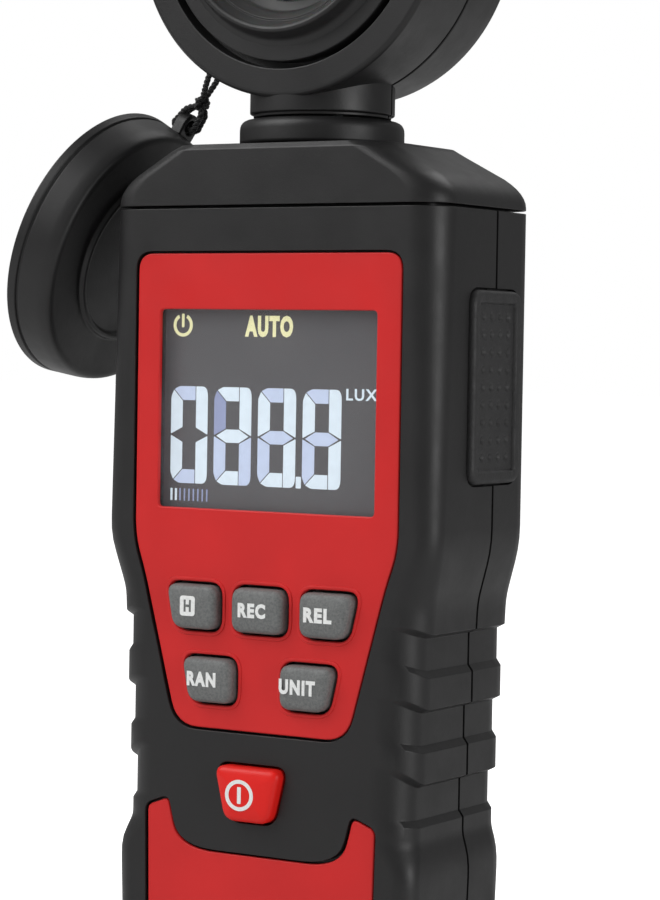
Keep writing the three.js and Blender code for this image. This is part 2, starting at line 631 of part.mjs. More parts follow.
function headFrontShell() {
  const { radius, frontRadius, front, parting, wall, innerFront } = HEAD;
  const { grooveInner, grooveOuter, grooveFloor } = HEAD;
  const edge = parting - PARTING_GAP;
  const hole = BEZEL.base + GAP;
  const profile = [
    [hole, innerFront], [hole, front], [grooveInner, front], [grooveInner, grooveFloor],
    [grooveOuter, grooveFloor], [grooveOuter, front], [frontRadius - 0.5, front],
    [frontRadius, front + 0.5], [radius, edge], [radius - wall, edge],
    [radius - wall, innerFront], [hole, innerFront],
  ];
  const { turnedSkin, collar } = headSkin(profile);
  const chamber = rod(radius - wall, 'y', [0, HEAD.z], innerFront, FAR, SIDES);
  const face = rod(radius, 'y', [0, HEAD.z], -FAR, front + 1, SIDES);
  const neck = cut(collar.intersect(beforeY(edge)), chamber, face);
  const posts = headScrewSpots.map((at) => rod(HEAD_SCREW.frontPost, 'y', at,
    innerFront - 0.4, edge - 0.3, 16));
  const pilots = headScrewSpots.map((at) => rod(1.15, 'y', at, innerFront + 1.5, FAR, 12));
  return cut(join(turnedSkin, neck, ...posts), ...pilots, neckPocket());
}

function headRearShell() {
  const { radius, rearRadius, rear, parting, wall, rearEdge } = HEAD;
  const edge = parting + PARTING_GAP;
  const round = rear - rearEdge;
  const profile = [
    [radius - wall, edge], [radius, edge], ...arc(rearRadius - round, rearEdge, round, 0, 90, 4),
    [0, rear], [0, rear - wall], [radius - wall - 1.3, rear - wall],
    [radius - wall - 0.3, rear - wall - 1],
    [radius - wall, edge],
  ];
  const { turnedSkin, collar } = headSkin(profile);
  const chamber = rod(radius - wall, 'y', [0, HEAD.z], -FAR, rear - wall - 1, SIDES);
  const neck = cut(collar.intersect(behindY(edge)), chamber);
  const posts = headScrewSpots.map((at) => rod(HEAD_SCREW.rearPost, 'y', at, edge + 0.3,
    rear - wall + 0.4, 16));
  const shanks = headScrewSpots.map((at) => rod(1.3, 'y', at, -FAR, FAR, 12));
  const seats = headScrewSpots.map((at) => rod(2.1, 'y', at, rear - 1.9, FAR, 16));
  return cut(join(turnedSkin, neck, ...posts, eyelet()), ...shanks, ...seats, neckPocket(),
    rod(EYELET.hole, 'y', eyeletAt(), -FAR, FAR, 16));
}

function eyeletAt() {
  const angle = radians(EYELET.angle);
  return [EYELET.reach * Math.cos(angle), HEAD.z + EYELET.reach * Math.sin(angle)];
}

/** The small ear on the head's rim that the lanyard passes through. */
function eyelet() {
  const [x, z] = eyeletAt();
  const y = [EYELET.y - EYELET.thickness / 2, EYELET.y + EYELET.thickness / 2];
  const ear = rod(EYELET.radius, 'y', [x, z], ...y, 20);
  const root = new THREE.BoxGeometry(3.4, EYELET.thickness, EYELET.radius * 1.8);
  root.translate(-2, 0, 0).rotateY(-radians(EYELET.angle)).translate(x, EYELET.y, z);
  return join(ear, solid(root));
}

/** The raised funnel around the dome, flanged behind the front shell. */
function sensorBezel() {
  const { base, rim, rimFront, mouth, mouthFront, flange } = BEZEL;
  const flangeFront = HEAD.innerFront + GAP;
  const seat = DOME.flange + GAP;
  return turned([
    [mouth, mouthFront], [mouth, DOME.flangeFront - GAP], [seat, DOME.flangeFront - GAP],
    [seat, flangeFront + 1], [flange, flangeFront + 1], [flange, flangeFront], [base, flangeFront],
    [base, HEAD.front - 0.1], [rim, rimFront], [rim - 0.4, rimFront + 0.2], [mouth, mouthFront],
  ]).translate([0, 0, HEAD.z]);
}

/** The white dome: a shallow spherical cap on a short skirt, open behind. */
function diffuserDome() {
  const { radius, height, wall, flange, flangeFront } = DOME;
  const sphere = (radius ** 2 + height ** 2) / (2 * height);
  const centre = BEZEL.mouthFront - height + sphere;
  const bore = radius - wall;
  const outerSweep = THREE.MathUtils.radToDeg(Math.asin(radius / sphere));
  const innerSweep = THREE.MathUtils.radToDeg(Math.asin(bore / (sphere - wall)));
  const back = flangeFront + 1;
  return turned([
    ...arc(0, centre, sphere, 270, 270 + outerSweep, 4), [radius, flangeFront],
    [flange, flangeFront], [flange, back], [bore, back],
    ...arc(0, centre, sphere - wall, 270 + innerSweep, 270, 3),
  ]).translate([0, 0, HEAD.z]);
}

function sensorStack() {
  const at = [0, HEAD.z];
  return {
    colour_filter: rod(5.5, 'y', at, -5, -4, 32),
    photodiode: rod(4.5, 'y', at, -3.7, -1.6, 32),
    sensor_board: cut(rod(15.4, 'y', at, -1.3, 0.1, 40), block([-7, 7], [-FAR, FAR], [0, HEAD.z - 10])),
  };
}

/** The wires from the sensor board, down the middle of the neck to the main board. */
function sensorLead() {
  const route = new THREE.CatmullRomCurve3([
    new THREE.Vector3(0, -0.6, HEAD.z - 10.6), new THREE.Vector3(0, -0.3, 144),
    new THREE.Vector3(0, 0, 138), new THREE.Vector3(0, 0, 125), new THREE.Vector3(0, -1, 114),
    new THREE.Vector3(0, -3.6, 106), new THREE.Vector3(0, BOARD.rear + 1.5, 100),
  ]);
  return tube(route, 1, 20, 8);
}

// ---------------------------------------------------------------- the hanging cap

/** The cap's own frame: X up its face, Y out of its face, Z to the rear. */
function capFrame() {
  const tilt = radians(SENSOR_CAP_TILT);
  const up = unit(Math.sin(tilt), 0, Math.cos(tilt));
  const out = unit(Math.cos(tilt), 0, -Math.sin(tilt));
  return new THREE.Matrix4().makeBasis(up, out, unit(0, 1, 0)).setPosition(SENSOR_CAP_AT);
}

function lugAt() {
  const angle = radians(LUG.angle);
  return new THREE.Vector3(LUG.reach * Math.cos(angle), LUG.y, LUG.reach * Math.sin(angle));
}

/** A drafted cup whose closed face has a low ring on it, with a lug on its rim for the lanyard. */
function sensorCap() {
  const { faceRadius, crest, rim, wall, depth, crestDepth, face, ring } = SENSOR_CAP;
  const draft = (rim - crest) / (depth - crestDepth);
  const { grooveFrom, grooveTo } = SENSOR_CAP;
  const outside = (y) => crest + draft * (-y - crestDepth);
  const cup = turned([
    [0, -face], [crest - wall - 0.4, -face], [rim - wall, -depth], [rim, -depth],
    [outside(-grooveTo), -grooveTo], [outside(-grooveTo) - 0.35, -grooveTo + 0.1],
    [outside(-grooveFrom) - 0.35, -grooveFrom - 0.1], [outside(-grooveFrom), -grooveFrom],
    [crest, -crestDepth], [faceRadius, -0.3], [faceRadius - 0.6, 0], [ring + 0.6, 0],
    [ring + 0.3, 0.7], [ring - 0.3, 0.7], [ring - 0.6, 0], [0, 0],
  ]);
  const lug = lugAt();
  const along = [lug.y - LUG.thickness / 2, lug.y + LUG.thickness / 2];
  const root = new THREE.BoxGeometry(3.2, LUG.thickness, LUG.radius * 1.8);
  root.translate(-1.8, 0, 0).rotateY(-radians(LUG.angle)).translate(lug.x, lug.y, lug.z);
  const ear = join(rod(LUG.radius, 'y', [lug.x, lug.z], ...along, 20), solid(root));
  const outsideRim = rod(crest - 0.2, 'y', [0, 0], -FAR, FAR, SIDES);
  const hole = rod(LUG.hole, 'y', [lug.x, lug.z], -FAR, FAR, 16);
  const whole = cut(join(cup, cut(ear, outsideRim)), hole);
  return whole.transform(capFrame().elements);
}

/** A loop of cord from the knot, through an eye along a direction, and back to the knot. */
function cordLoop(eye, through, steps) {
  const { knot } = CORD;
  const side = through.clone().multiplyScalar(CORD.spread);
  const toKnot = knot.clone().sub(eye).normalize();
  const nearEye = eye.clone().addScaledVector(toKnot, 1.6);
  const slack = knot.clone().addScaledVector(toKnot, -0.8);
  const route = new THREE.CatmullRomCurve3([
    slack.clone().addScaledVector(side, 0.15), nearEye.clone().add(side),
    eye.clone().addScaledVector(side, 0.55), eye.clone().addScaledVector(side, -0.55),
    nearEye.clone().sub(side), slack.clone().addScaledVector(side, -0.15),
  ]);
  return tube(route, CORD.radius, steps, 6);
}

/** The lanyard: a loop through the head's eyelet and one through the cap's lug, knotted. */
function lanyard() {
  const [x, z] = eyeletAt();
  const frame = capFrame();
  const lugEye = lugAt().applyMatrix4(frame);
  const lugAxis = new THREE.Vector3().setFromMatrixColumn(frame, 1);
  const knot = new THREE.SphereGeometry(CORD.knotRadius, 12, 8).translate(...CORD.knot.toArray());
  return join(solid(knot), cordLoop(new THREE.Vector3(x, EYELET.y, z), unit(0, 1, 0), 26),
    cordLoop(lugEye, lugAxis, 22));
}

// ---------------------------------------------------------------- assembly

const group = new THREE.Group();

function piece(name, manifold, look) {
  const mesh = new THREE.Mesh(toGeometry(manifold), new THREE.MeshStandardMaterial(LOOKS[look]));
  mesh.name = name;
  group.add(mesh);
}

function addCase() {
  piece('front_shell', frontShell(), 'blackPlastic');
  piece('rear_shell', rearShell(), 'blackPlastic');
  piece('top_cap', topCap(), 'blackPlastic');
  piece('face_panel', facePanel(), 'redPlastic');
  piece('lower_panel', lowerPanel(), 'redPlastic');
  piece('side_pad_right', sidePad(1), 'rubber');
  piece('side_pad_left', sidePad(-1), 'rubber');
  piece('tripod_insert', tripodInsert(), 'brass');
  piece('battery_door', batteryDoor(), 'blackPlastic');
  const spots = ['lower_left', 'lower_right', 'upper_left', 'upper_right'];
  SCREWS.forEach((at, i) => {
    piece(`case_screw_${spots[i]}`, screw(at, SCREW.headSeat, SCREW.tip), 'steel');
  });
}

function addDisplayAndKeys() {
  const looks = {
    display_window: 'clear', lcd_panel: 'lcd', backlight: 'white', elastomer_strip: 'silicone',
  };
  for (const [name, part] of Object.entries(displayStack())) piece(name, part, looks[name]);
  piece('main_board', mainBoard(), 'board');
  piece('processor', processor(), 'chip');
  piece('keypad_mat', keypadMat(), 'silicone');
  for (const key of KEYS) piece(key.name, keyBody(keyCorners(key)), 'keyGrey');
  piece(POWER_KEY.name, keyBody(powerCorners, POWER_KEY.front), 'powerRed');
}

/** Three cells in series: their nubs point up, down and up. */
function addPower() {
  piece('battery_tray', batteryTray(), 'blackPlastic');
  const nubsUp = [true, false, true];
  nubsUp.forEach((nubUp, i) => {
    const x = (i - 1) * CELL.pitch;
    piece(`battery_${i + 1}`, cell(x, nubUp), 'cell');
    piece(`battery_spring_${i + 1}`, batterySpring(x, nubUp), 'steel');
  });
  const { pitch } = CELL;
  piece('contact_plate_top_left', contactPlate(-pitch, 0, true), 'steel');
  piece('contact_plate_top_right', contactPlate(pitch, pitch, true), 'steel');
  piece('contact_plate_bottom_left', contactPlate(-pitch, -pitch, false), 'steel');
  piece('contact_plate_bottom_right', contactPlate(0, pitch, false), 'steel');
}

function addHead() {
  piece('neck_collar', neckCollar(), 'blackPlastic');
  piece('neck_washer', neckWasher(), 'steel');
  piece('neck_tube', neckTube(), 'steel');
  piece('head_front_shell', headFrontShell(), 'blackPlastic');
  piece('head_rear_shell', headRearShell(), 'blackPlastic');
  piece('sensor_bezel', sensorBezel(), 'blackPlastic');
  piece('diffuser_dome', diffuserDome(), 'white');
  const looks = { colour_filter: 'filter', photodiode: 'chip', sensor_board: 'board' };
  for (const [name, part] of Object.entries(sensorStack())) piece(name, part, looks[name]);
  piece('sensor_lead', sensorLead(), 'cord');
  const [seat, tip] = [HEAD.rear - 1.6, HEAD.innerFront + 2.2];
  headScrewSpots.forEach((at, i) => {
    piece(`head_screw_${i + 1}`, screw(at, seat, tip, HEAD_SCREW), 'steel');
  });
  piece('sensor_cap', sensorCap(), 'blackPlastic');
  piece('lanyard', lanyard(), 'cord');
}

addCase();
addDisplayAndKeys();
addPower();
addHead();

export default group;
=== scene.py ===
"""The looks of a handheld light meter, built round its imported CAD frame.

Lengths in this file are millimetres and become metres as each mesh is made. +Z is up, the front
faces -Y, and sizes come from the frame's boxes wherever a box gives them."""
import math

import bmesh
import bpy
from mathutils import Matrix, Vector

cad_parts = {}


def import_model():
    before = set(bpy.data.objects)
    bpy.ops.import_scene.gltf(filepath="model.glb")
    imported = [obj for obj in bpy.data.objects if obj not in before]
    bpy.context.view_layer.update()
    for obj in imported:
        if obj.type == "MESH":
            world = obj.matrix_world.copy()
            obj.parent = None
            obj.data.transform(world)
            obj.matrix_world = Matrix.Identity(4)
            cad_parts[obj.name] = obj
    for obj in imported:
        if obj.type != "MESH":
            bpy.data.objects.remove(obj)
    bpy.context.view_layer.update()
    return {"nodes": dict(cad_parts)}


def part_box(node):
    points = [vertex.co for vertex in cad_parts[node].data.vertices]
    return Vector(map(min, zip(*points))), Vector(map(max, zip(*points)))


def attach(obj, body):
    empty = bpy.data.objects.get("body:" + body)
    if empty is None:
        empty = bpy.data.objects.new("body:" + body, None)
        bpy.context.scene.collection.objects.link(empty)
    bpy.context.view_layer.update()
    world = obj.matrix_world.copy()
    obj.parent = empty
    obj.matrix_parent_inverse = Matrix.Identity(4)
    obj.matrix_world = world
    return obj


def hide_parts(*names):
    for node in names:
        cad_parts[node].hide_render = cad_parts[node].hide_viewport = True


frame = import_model()

MM = 0.001
ROUND_STEPS = 6        # faces in each rounded corner of an outline
TURNED_SIDES = 144     # faces round a large turned piece
EDGE = 0.22            # the usual small round on a moulded edge
FAR = 200              # beyond the meter on every side
MERGE = 0.002          # points closer than this are one point
CORNER_SHARE = 0.48    # the most of a side that one rounded corner takes
SHARP = {"rounded": 32, "shaded": 42}    # degrees past which an edge is rounded, or shaded as sharp


def box(node):
    """A CAD node's lowest and highest corners."""
    low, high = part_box(node)
    return low / MM, high / MM


def middle(node):
    low, high = box(node)
    return (low + high) / 2


# ---------------------------------------------------------------- camera, stage and light

CAMERA = {
    "azimuth": 32.0, "distance": 400.0, "height": 100.6, "lens": 113.2,
    "yaw": 0.263, "pitch": -2.004, "roll": 0.945,
}


def add_camera():
    """A camera to the front right, turned by small angles from facing the meter's axis squarely."""
    around = math.radians(CAMERA["azimuth"])
    away = Vector((math.sin(around), -math.cos(around), 0)) * CAMERA["distance"]
    place = Matrix.Translation((away + Vector((0, 0, CAMERA["height"]))) * MM)
    facing = Matrix.Rotation(around, 4, "Z") @ Matrix.Rotation(math.radians(90), 4, "X")
    turns = Matrix.Rotation(-math.radians(CAMERA["yaw"]), 4, "Y")
    turns = turns @ Matrix.Rotation(math.radians(CAMERA["pitch"]), 4, "X")
    turns = turns @ Matrix.Rotation(math.radians(CAMERA["roll"]), 4, "Z")
    data = bpy.data.cameras.new("camera")
    data.lens = CAMERA["lens"]
    data.sensor_width = 36
    data.clip_start = 0.01
    camera = bpy.data.objects.new("camera", data)
    camera.matrix_world = place @ facing @ turns
    bpy.context.scene.collection.objects.link(camera)
    bpy.context.scene.camera = camera


SOFTBOX_DISTANCE = 900


def add_softbox(name, azimuth, elevation, size, power):
    """A square light that faces the meter's middle."""
    target = Vector((0, 0, 95))
    around, up = math.radians(azimuth), math.radians(elevation)
    direction = Vector((math.sin(around) * math.cos(up), -math.cos(around) * math.cos(up), math.sin(up)))
    data = bpy.data.lights.new(name, "AREA")
    data.size = size * MM
    data.energy = power
    light = bpy.data.objects.new(name, data)
    light.location = (target + direction * SOFTBOX_DISTANCE) * MM
    light.rotation_euler = direction.to_track_quat("Z", "Y").to_euler()
    bpy.context.scene.collection.objects.link(light)


SKY = {"seen": 1.0, "lighting": 0.24}
FLOOR = {"paint": 0.8, "glow": 0.9}


def seen_by_camera(tree):
    """1 where the camera looks straight at a surface and 0 in its reflections and its light."""
    return tree.nodes.new("ShaderNodeLightPath").outputs["Is Camera Ray"]


def scaled(tree, share, low, high):
    """A share from 0 to 1 stretched to low to high."""
    node = tree.nodes.new("ShaderNodeMapRange")
    node.inputs["To Min"].default_value = low
    node.inputs["To Max"].default_value = high
    tree.links.new(share, node.inputs["Value"])
    return node.outputs["Result"]


def add_stage():
    """A plain white floor in a white room that lights the meter only dimly, and broad soft lights."""
    world = bpy.data.worlds.new("white_room")
    world.use_nodes = True
    tree = world.node_tree
    background = tree.nodes["Background"]
    background.inputs["Color"].default_value = (1, 1, 1, 1)
    strength = scaled(tree, seen_by_camera(tree), SKY["lighting"], SKY["seen"])
    tree.links.new(strength, background.inputs["Strength"])
    bpy.context.scene.world = world
    floor = prism("floor", rectangle((-6000, 6000), (-6000, 6000), 0), "z", -20, -0.02)
    paint = material("floor_paint", (FLOOR["paint"],) * 3, 0.8)
    shader = paint.node_tree.nodes["Principled BSDF"]
    shader.inputs["Emission Color"].default_value = (1, 1, 1, 1)
    shader.inputs["Specular IOR Level"].default_value = 0
    glow = scaled(paint.node_tree, seen_by_camera(paint.node_tree), 0, FLOOR["glow"])
    paint.node_tree.links.new(glow, shader.inputs["Emission Strength"])
    floor.data.materials.append(paint)
    add_softbox("softbox_left", -42, 42, 700, 7)
    add_softbox("softbox_right", 80, 8, 380, 2.8)
    add_softbox("softbox_back", 165, 55, 500, 2)
    bpy.context.scene.view_settings.view_transform = "Standard"


# ---------------------------------------------------------------- outlines

def sides_at(corners, i):
    """A corner, and its sides back to the corner before it and ahead to the next one."""
    corner = Vector(corners[i][:2])
    back = Vector(corners[i - 1][:2]) - corner
    ahead = Vector(corners[(i + 1) % len(corners)][:2]) - corner
    return corner, back, ahead


def rounded(corners, steps=ROUND_STEPS, closed=True):
    """Points along a line whose corners are rounded. Each corner is (across, up, radius)."""
    points = []
    last = len(corners) - 1
    for i, (_, _, radius) in enumerate(corners):
        corner, back, ahead = sides_at(corners, i)
        is_end = not closed and i in (0, last)
        if radius <= 0 or is_end:
            points.append(corner)
            continue
        start = corner + back.normalized() * min(radius, back.length * CORNER_SHARE)
        end = corner + ahead.normalized() * min(radius, ahead.length * CORNER_SHARE)
        for step in range(steps + 1):
            t = step / steps
            points.append(start * (1 - t) ** 2 + corner * 2 * t * (1 - t) + end * t ** 2)
    return points


def grown(corners, distance):
    """The same corners moved outward by a distance, for an anticlockwise outline."""
    moved = []
    for i, (_, _, radius) in enumerate(corners):
        corner, back, ahead = sides_at(corners, i)
        back.normalize()
        ahead.normalize()
        out_back, out_ahead = Vector((-back.y, back.x)), Vector((ahead.y, -ahead.x))
        bisector = (out_back + out_ahead).normalized()
        reach = distance / max(bisector.dot(out_ahead), 0.3)
        place = corner + bisector * reach
        moved.append((place.x, place.y, max(radius + distance, 0.05)))
    return moved


def rectangle(x, y, radius):
    return [(x[0], y[0], radius), (x[1], y[0], radius), (x[1], y[1], radius), (x[0], y[1], radius)]


def circle(radius, centre=(0, 0), sides=48):
    angles = [2 * math.pi * i / sides for i in range(sides)]
    return [Vector((centre[0] + radius * math.cos(a), centre[1] + radius * math.sin(a))) for a in angles]


def quarter_round(steps):
    """The sines and cosines of even steps from 0 to 90 degrees."""
    angles = [math.radians(90 * step / steps) for step in range(steps + 1)]
    return [(math.sin(angle), math.cos(angle)) for angle in angles]


# ---------------------------------------------------------------- meshes

def mesh_object(name, points, faces):
    mesh = bpy.data.meshes.new(name)
    mesh.from_pydata([Vector(point) * MM for point in points], [], faces)
    obj = bpy.data.objects.new(name, mesh)
    bpy.context.scene.collection.objects.link(obj)
    clean(obj)
    return obj


def clean(obj, flat_angle=None):
    """Merges doubled points and faces outward. Flat neighbours join where an angle is given."""
    mesh = bmesh.new()
    mesh.from_mesh(obj.data)
    bmesh.ops.remove_doubles(mesh, verts=mesh.verts, dist=MERGE * MM)
    bmesh.ops.dissolve_degenerate(mesh, edges=mesh.edges, dist=MERGE / 2 * MM)
    if flat_angle is not None:
        bmesh.ops.dissolve_limit(mesh, angle_limit=math.radians(flat_angle), verts=mesh.verts,
                                 edges=mesh.edges, use_dissolve_boundaries=False)
    bmesh.ops.recalc_face_normals(mesh, faces=mesh.faces)
    mesh.to_mesh(obj.data)
    mesh.free()


def loft(name, rings):
    """A closed skin through rings that all have the same number of points."""
    count = len(rings[0])
    faces = [tuple(range(count))[::-1]]
    for base in range(0, (len(rings) - 1) * count, count):
        for i in range(count):
            following = (i + 1) % count
            faces.append((base + i, base + following, base + count + following, base + count + i))
    last = (len(rings) - 1) * count
    faces.append(tuple(range(last, last + count)))
    return mesh_object(name, [point for ring in rings for point in ring], faces)


def on_axis(points, axis, depth):
    """Flat points lifted to a depth along one axis."""
    if axis == "x":
        return [Vector((depth, p[0], p[1])) for p in points]
    if axis == "y":
        return [Vector((p[0], depth, p[1])) for p in points]
    return [Vector((p[0], p[1], depth)) for p in points]


def prism(name, corners, axis, start, end, steps=ROUND_STEPS):
    points = rounded(corners, steps)
    return loft(name, [on_axis(points, axis, start), on_axis(points, axis, end)])


def rod(name, radius, axis, centre, start, end, sides=64):
    points = circle(radius, centre, sides)
    return loft(name, [on_axis(points, axis, start), on_axis(points, axis, end)])


def block(name, x, y, z):
    return prism(name, rectangle(x, y, 0), "z", z[0], z[1])


def turned(name, corners, place=Matrix(), sides=TURNED_SIDES, steps=4):
    """A closed profile of (radius, along, round) turned about the place's local Z axis."""
    profile = rounded(corners, steps)
    points, faces = [], []
    count = len(profile)
    for side in range(sides):
        angle = 2 * math.pi * side / sides
        spin = Matrix.Rotation(angle, 4, "Z")
        points += [place @ spin @ Vector((radius, 0, along)) for radius, along in profile]
        base, following = side * count, ((side + 1) % sides) * count
        for i in range(count):
            j = (i + 1) % count
            faces.append((base + i, following + i, following + j, base + j))
    return mesh_object(name, points, faces)


def about_y(z, x=0):
    """A place whose local Z runs along +Y at a height, and at a distance from the middle."""
    return Matrix.Translation((x, 0, z)) @ Matrix.Rotation(-math.radians(90), 4, "X")


def settle(obj):
    """Applies an object's modifiers to its mesh."""
    bpy.context.view_layer.update()
    evaluated = obj.evaluated_get(bpy.context.evaluated_depsgraph_get())
    mesh = bpy.data.meshes.new_from_object(evaluated)
    obj.modifiers.clear()
    obj.data = mesh


def combine(obj, others, operation):
    for other in others:
        modifier = obj.modifiers.new("combine", "BOOLEAN")
        modifier.operation = operation
        modifier.object = other
        modifier.solver = "EXACT"
        settle(obj)
        bpy.data.objects.remove(other)
    clean(obj, flat_angle=0.4)
    return obj


def cut(obj, *tools):
    return combine(obj, tools, "DIFFERENCE")


def keep(obj, *tools):
    return combine(obj, tools, "INTERSECT")


def join(obj, *others):
    return combine(obj, others, "UNION")


def gather(obj, *others):
    """Several closed meshes as one object, with each keeping its own skin."""
    mesh = bmesh.new()
    for part in (obj, *others):
        mesh.from_mesh(part.data)
    mesh.to_mesh(obj.data)
    mesh.free()
    for other in others:
        bpy.data.objects.remove(other)
    return obj


def soften(obj, width=EDGE, segments=3):
    """Rounds the sharp edges that are left and shades the piece smoothly."""
    if width:
        bevel = obj.modifiers.new("edges", "BEVEL")
        bevel.width = width * MM
        bevel.segments = segments
        bevel.limit_method = "ANGLE"
        bevel.angle_limit = math.radians(SHARP["rounded"])
        bevel.use_clamp_overlap = True
        bevel.face_strength_mode = "FSTR_ALL"
        settle(obj)
    obj.data.shade_smooth()
    obj.data.set_sharp_from_angle(angle=math.radians(SHARP["shaded"]))
    weighted = obj.modifiers.new("flat_faces_stay_flat", "WEIGHTED_NORMAL")
    weighted.keep_sharp = True
    weighted.use_face_influence = True
    return obj


def dress(obj, look):
    """Gives a piece one material and that material's slot."""
    obj.data.materials.clear()
    obj.data.materials.append(LOOKS[look])


def add(obj, body, look, *replaced):
    """Gives a finished piece its look and its body, and hides the CAD nodes it stands for."""
    dress(obj, look)
    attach(obj, body)
    if replaced:
        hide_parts(*replaced)


# ---------------------------------------------------------------- materials

def material(name, colour, roughness, metallic=0.0):
    look = bpy.data.materials.new(name)
    look.use_nodes = True
    shader = look.node_tree.nodes["Principled BSDF"]
    shader.inputs["Base Color"].default_value = (*colour, 1)
    shader.inputs["Roughness"].default_value = roughness
    shader.inputs["Metallic"].default_value = metallic
    return look


class Nodes:
    """Short calls for a material's node tree."""

    def __init__(self, look):
        self.tree = look.node_tree
        self.shader = self.tree.nodes["Principled BSDF"]
        self.where = self.add("ShaderNodeTexCoord").outputs["Object"]

    def add(self, kind, **settings):
        node = self.tree.nodes.new(kind)
        for key, value in settings.items():
            setattr(node, key, value)
        return node

    def link(self, source, target):
        self.tree.links.new(source, target)

    def noise(self, size, detail=2.0, roughness=0.5):
        """Noise whose features are about so many millimetres across."""
        node = self.add("ShaderNodeTexNoise")
        node.inputs["Scale"].default_value = 1 / (size * MM)
        node.inputs["Detail"].default_value = detail
        node.inputs["Roughness"].default_value = roughness
        self.link(self.where, node.inputs["Vector"])
        return node.outputs["Fac"]

    def patches(self, size, detail=2.0, roughness=0.5):
        """The same noise stretched to run from 0 to 1."""
        return self.spread(self.noise(size, detail, roughness), 0, 1)

    def cells(self, size):
        node = self.add("ShaderNodeTexVoronoi", feature="F1")
        node.inputs["Scale"].default_value = 1 / (size * MM)
        self.link(self.where, node.inputs["Vector"])
        return node.outputs["Distance"]

    def spread(self, value, low, high, start=0.3, end=0.7):
        """A value from start to end stretched to low to high."""
        node = self.add("ShaderNodeMapRange")
        for key, number in zip(("From Min", "From Max", "To Min", "To Max"), (start, end, low, high)):
            node.inputs[key].default_value = number
        self.link(value, node.inputs["Value"])
        return node.outputs["Result"]

    def mix(self, share, first, second):
        """Two colours mixed by a share. A colour is a tuple or another node's output."""
        node = self.add("ShaderNodeMix", data_type="RGBA")
        self.link(share, node.inputs["Factor"])
        for key, colour in (("A", first), ("B", second)):
            socket = next(s for s in node.inputs if s.name == key and s.type == "RGBA")
            if isinstance(colour, tuple):
                socket.default_value = (*colour, 1)
            else:
                self.link(colour, socket)
        return next(s for s in node.outputs if s.type == "RGBA")

    def colour(self, share, first, second, socket="Base Color"):
        """Colours the surface with two colours mixed by a share."""
        self.link(self.mix(share, first, second), self.shader.inputs[socket])

    def gloss(self, value, low, high):
        """Varies the roughness between two values."""
        self.link(self.spread(value, low, high), self.shader.inputs["Roughness"])

    def bump(self, *heights):
        """Adds bumps. Each height is (value, depth in millimetres)."""
        normal = None
        for value, depth in heights:
            node = self.add("ShaderNodeBump")
            node.inputs["Distance"].default_value = depth * MM
            self.link(value, node.inputs["Height"])
            if normal is not None:
                self.link(normal, node.inputs["Normal"])
            normal = node.outputs["Normal"]
        self.link(normal, self.shader.inputs["Normal"])


def shade(colour, factor):
    return tuple(min(c * factor, 1) for c in colour)


GRAIN = 0.22           # across one grain of a moulded surface


def moulded(name, colour, roughness, depth=0.012, patch=0.12, sheen=0.4):
    """Moulded plastic: a fine spark-eroded grain, with slightly uneven colour and gloss."""
    look = material(name, colour, roughness)
    nodes = Nodes(look)
    nodes.shader.inputs["Specular IOR Level"].default_value = sheen
    nodes.colour(nodes.patches(14, 3), shade(colour, 1 - patch), shade(colour, 1 + patch))
    nodes.gloss(nodes.noise(6, 4, 0.6), roughness - 0.06, roughness + 0.06)
    nodes.bump((nodes.noise(GRAIN, 2), depth), (nodes.noise(GRAIN * 5, 2), depth))
    return look


def key_rubber(name, colour):
    """Key rubber with a mottled, faintly dusty surface."""
    look = material(name, colour, 0.6)
    nodes = Nodes(look)
    nodes.colour(nodes.patches(0.35, 3, 0.7), shade(colour, 0.72), shade(colour, 1.28))
    nodes.gloss(nodes.noise(0.6, 3), 0.48, 0.7)
    nodes.bump((nodes.noise(0.25, 3, 0.7), 0.02))
    return look


def grip_rubber():
    """Soft dark rubber with a pebbled surface."""
    look = material("grip_rubber", (0.014, 0.014, 0.0145), 0.62)
    nodes = Nodes(look)
    nodes.colour(nodes.patches(0.5, 4, 0.7), (0.010, 0.010, 0.0105), (0.021, 0.0205, 0.021))
    nodes.gloss(nodes.noise(2, 3), 0.5, 0.72)
    nodes.bump((nodes.cells(0.32), 0.03), (nodes.noise(0.12, 2), 0.012))
    return look


def clear_window():
    """Thin clear plastic that lets the display show and keeps a soft gloss."""
    look = material("clear_window", (0.35, 0.36, 0.38), 0.06)
    nodes = Nodes(look)
    nodes.shader.inputs["Alpha"].default_value = 0.12
    nodes.gloss(nodes.noise(8, 2), 0.04, 0.09)
    look.blend_method = "BLEND"
    return look


def lcd_ground():
    """The display's grey ground, a little uneven. Its faint glow is painted light that stands in for the
    light falling on it through the window.
    """
    look = material("lcd_ground", (0.075, 0.068, 0.072), 0.3)
    nodes = Nodes(look)
    colour = nodes.mix(nodes.patches(16, 1), (0.040, 0.036, 0.039), (0.052, 0.048, 0.050))
    nodes.link(colour, nodes.shader.inputs["Base Color"])
    # painted light: the ground glows faintly in place of the light that reaches it through the window
    nodes.link(colour, nodes.shader.inputs["Emission Color"])
    nodes.shader.inputs["Emission Strength"].default_value = 0.6
    return look


def lit(name, colour, strength):
    """A lit part of the display, with the faint unevenness of liquid crystal."""
    look = material(name, shade(colour, 0.3), 0.4)
    nodes = Nodes(look)
    nodes.colour(nodes.patches(1.1, 3), shade(colour, 0.9), colour, "Emission Color")
    nodes.shader.inputs["Emission Strength"].default_value = strength
    return look


def print_ink(name, colour):
    """Printed ink, slightly thin in places."""
    look = material(name, colour, 0.5)
    nodes = Nodes(look)
    nodes.colour(nodes.patches(0.4, 3), shade(colour, 0.86), colour)
    return look


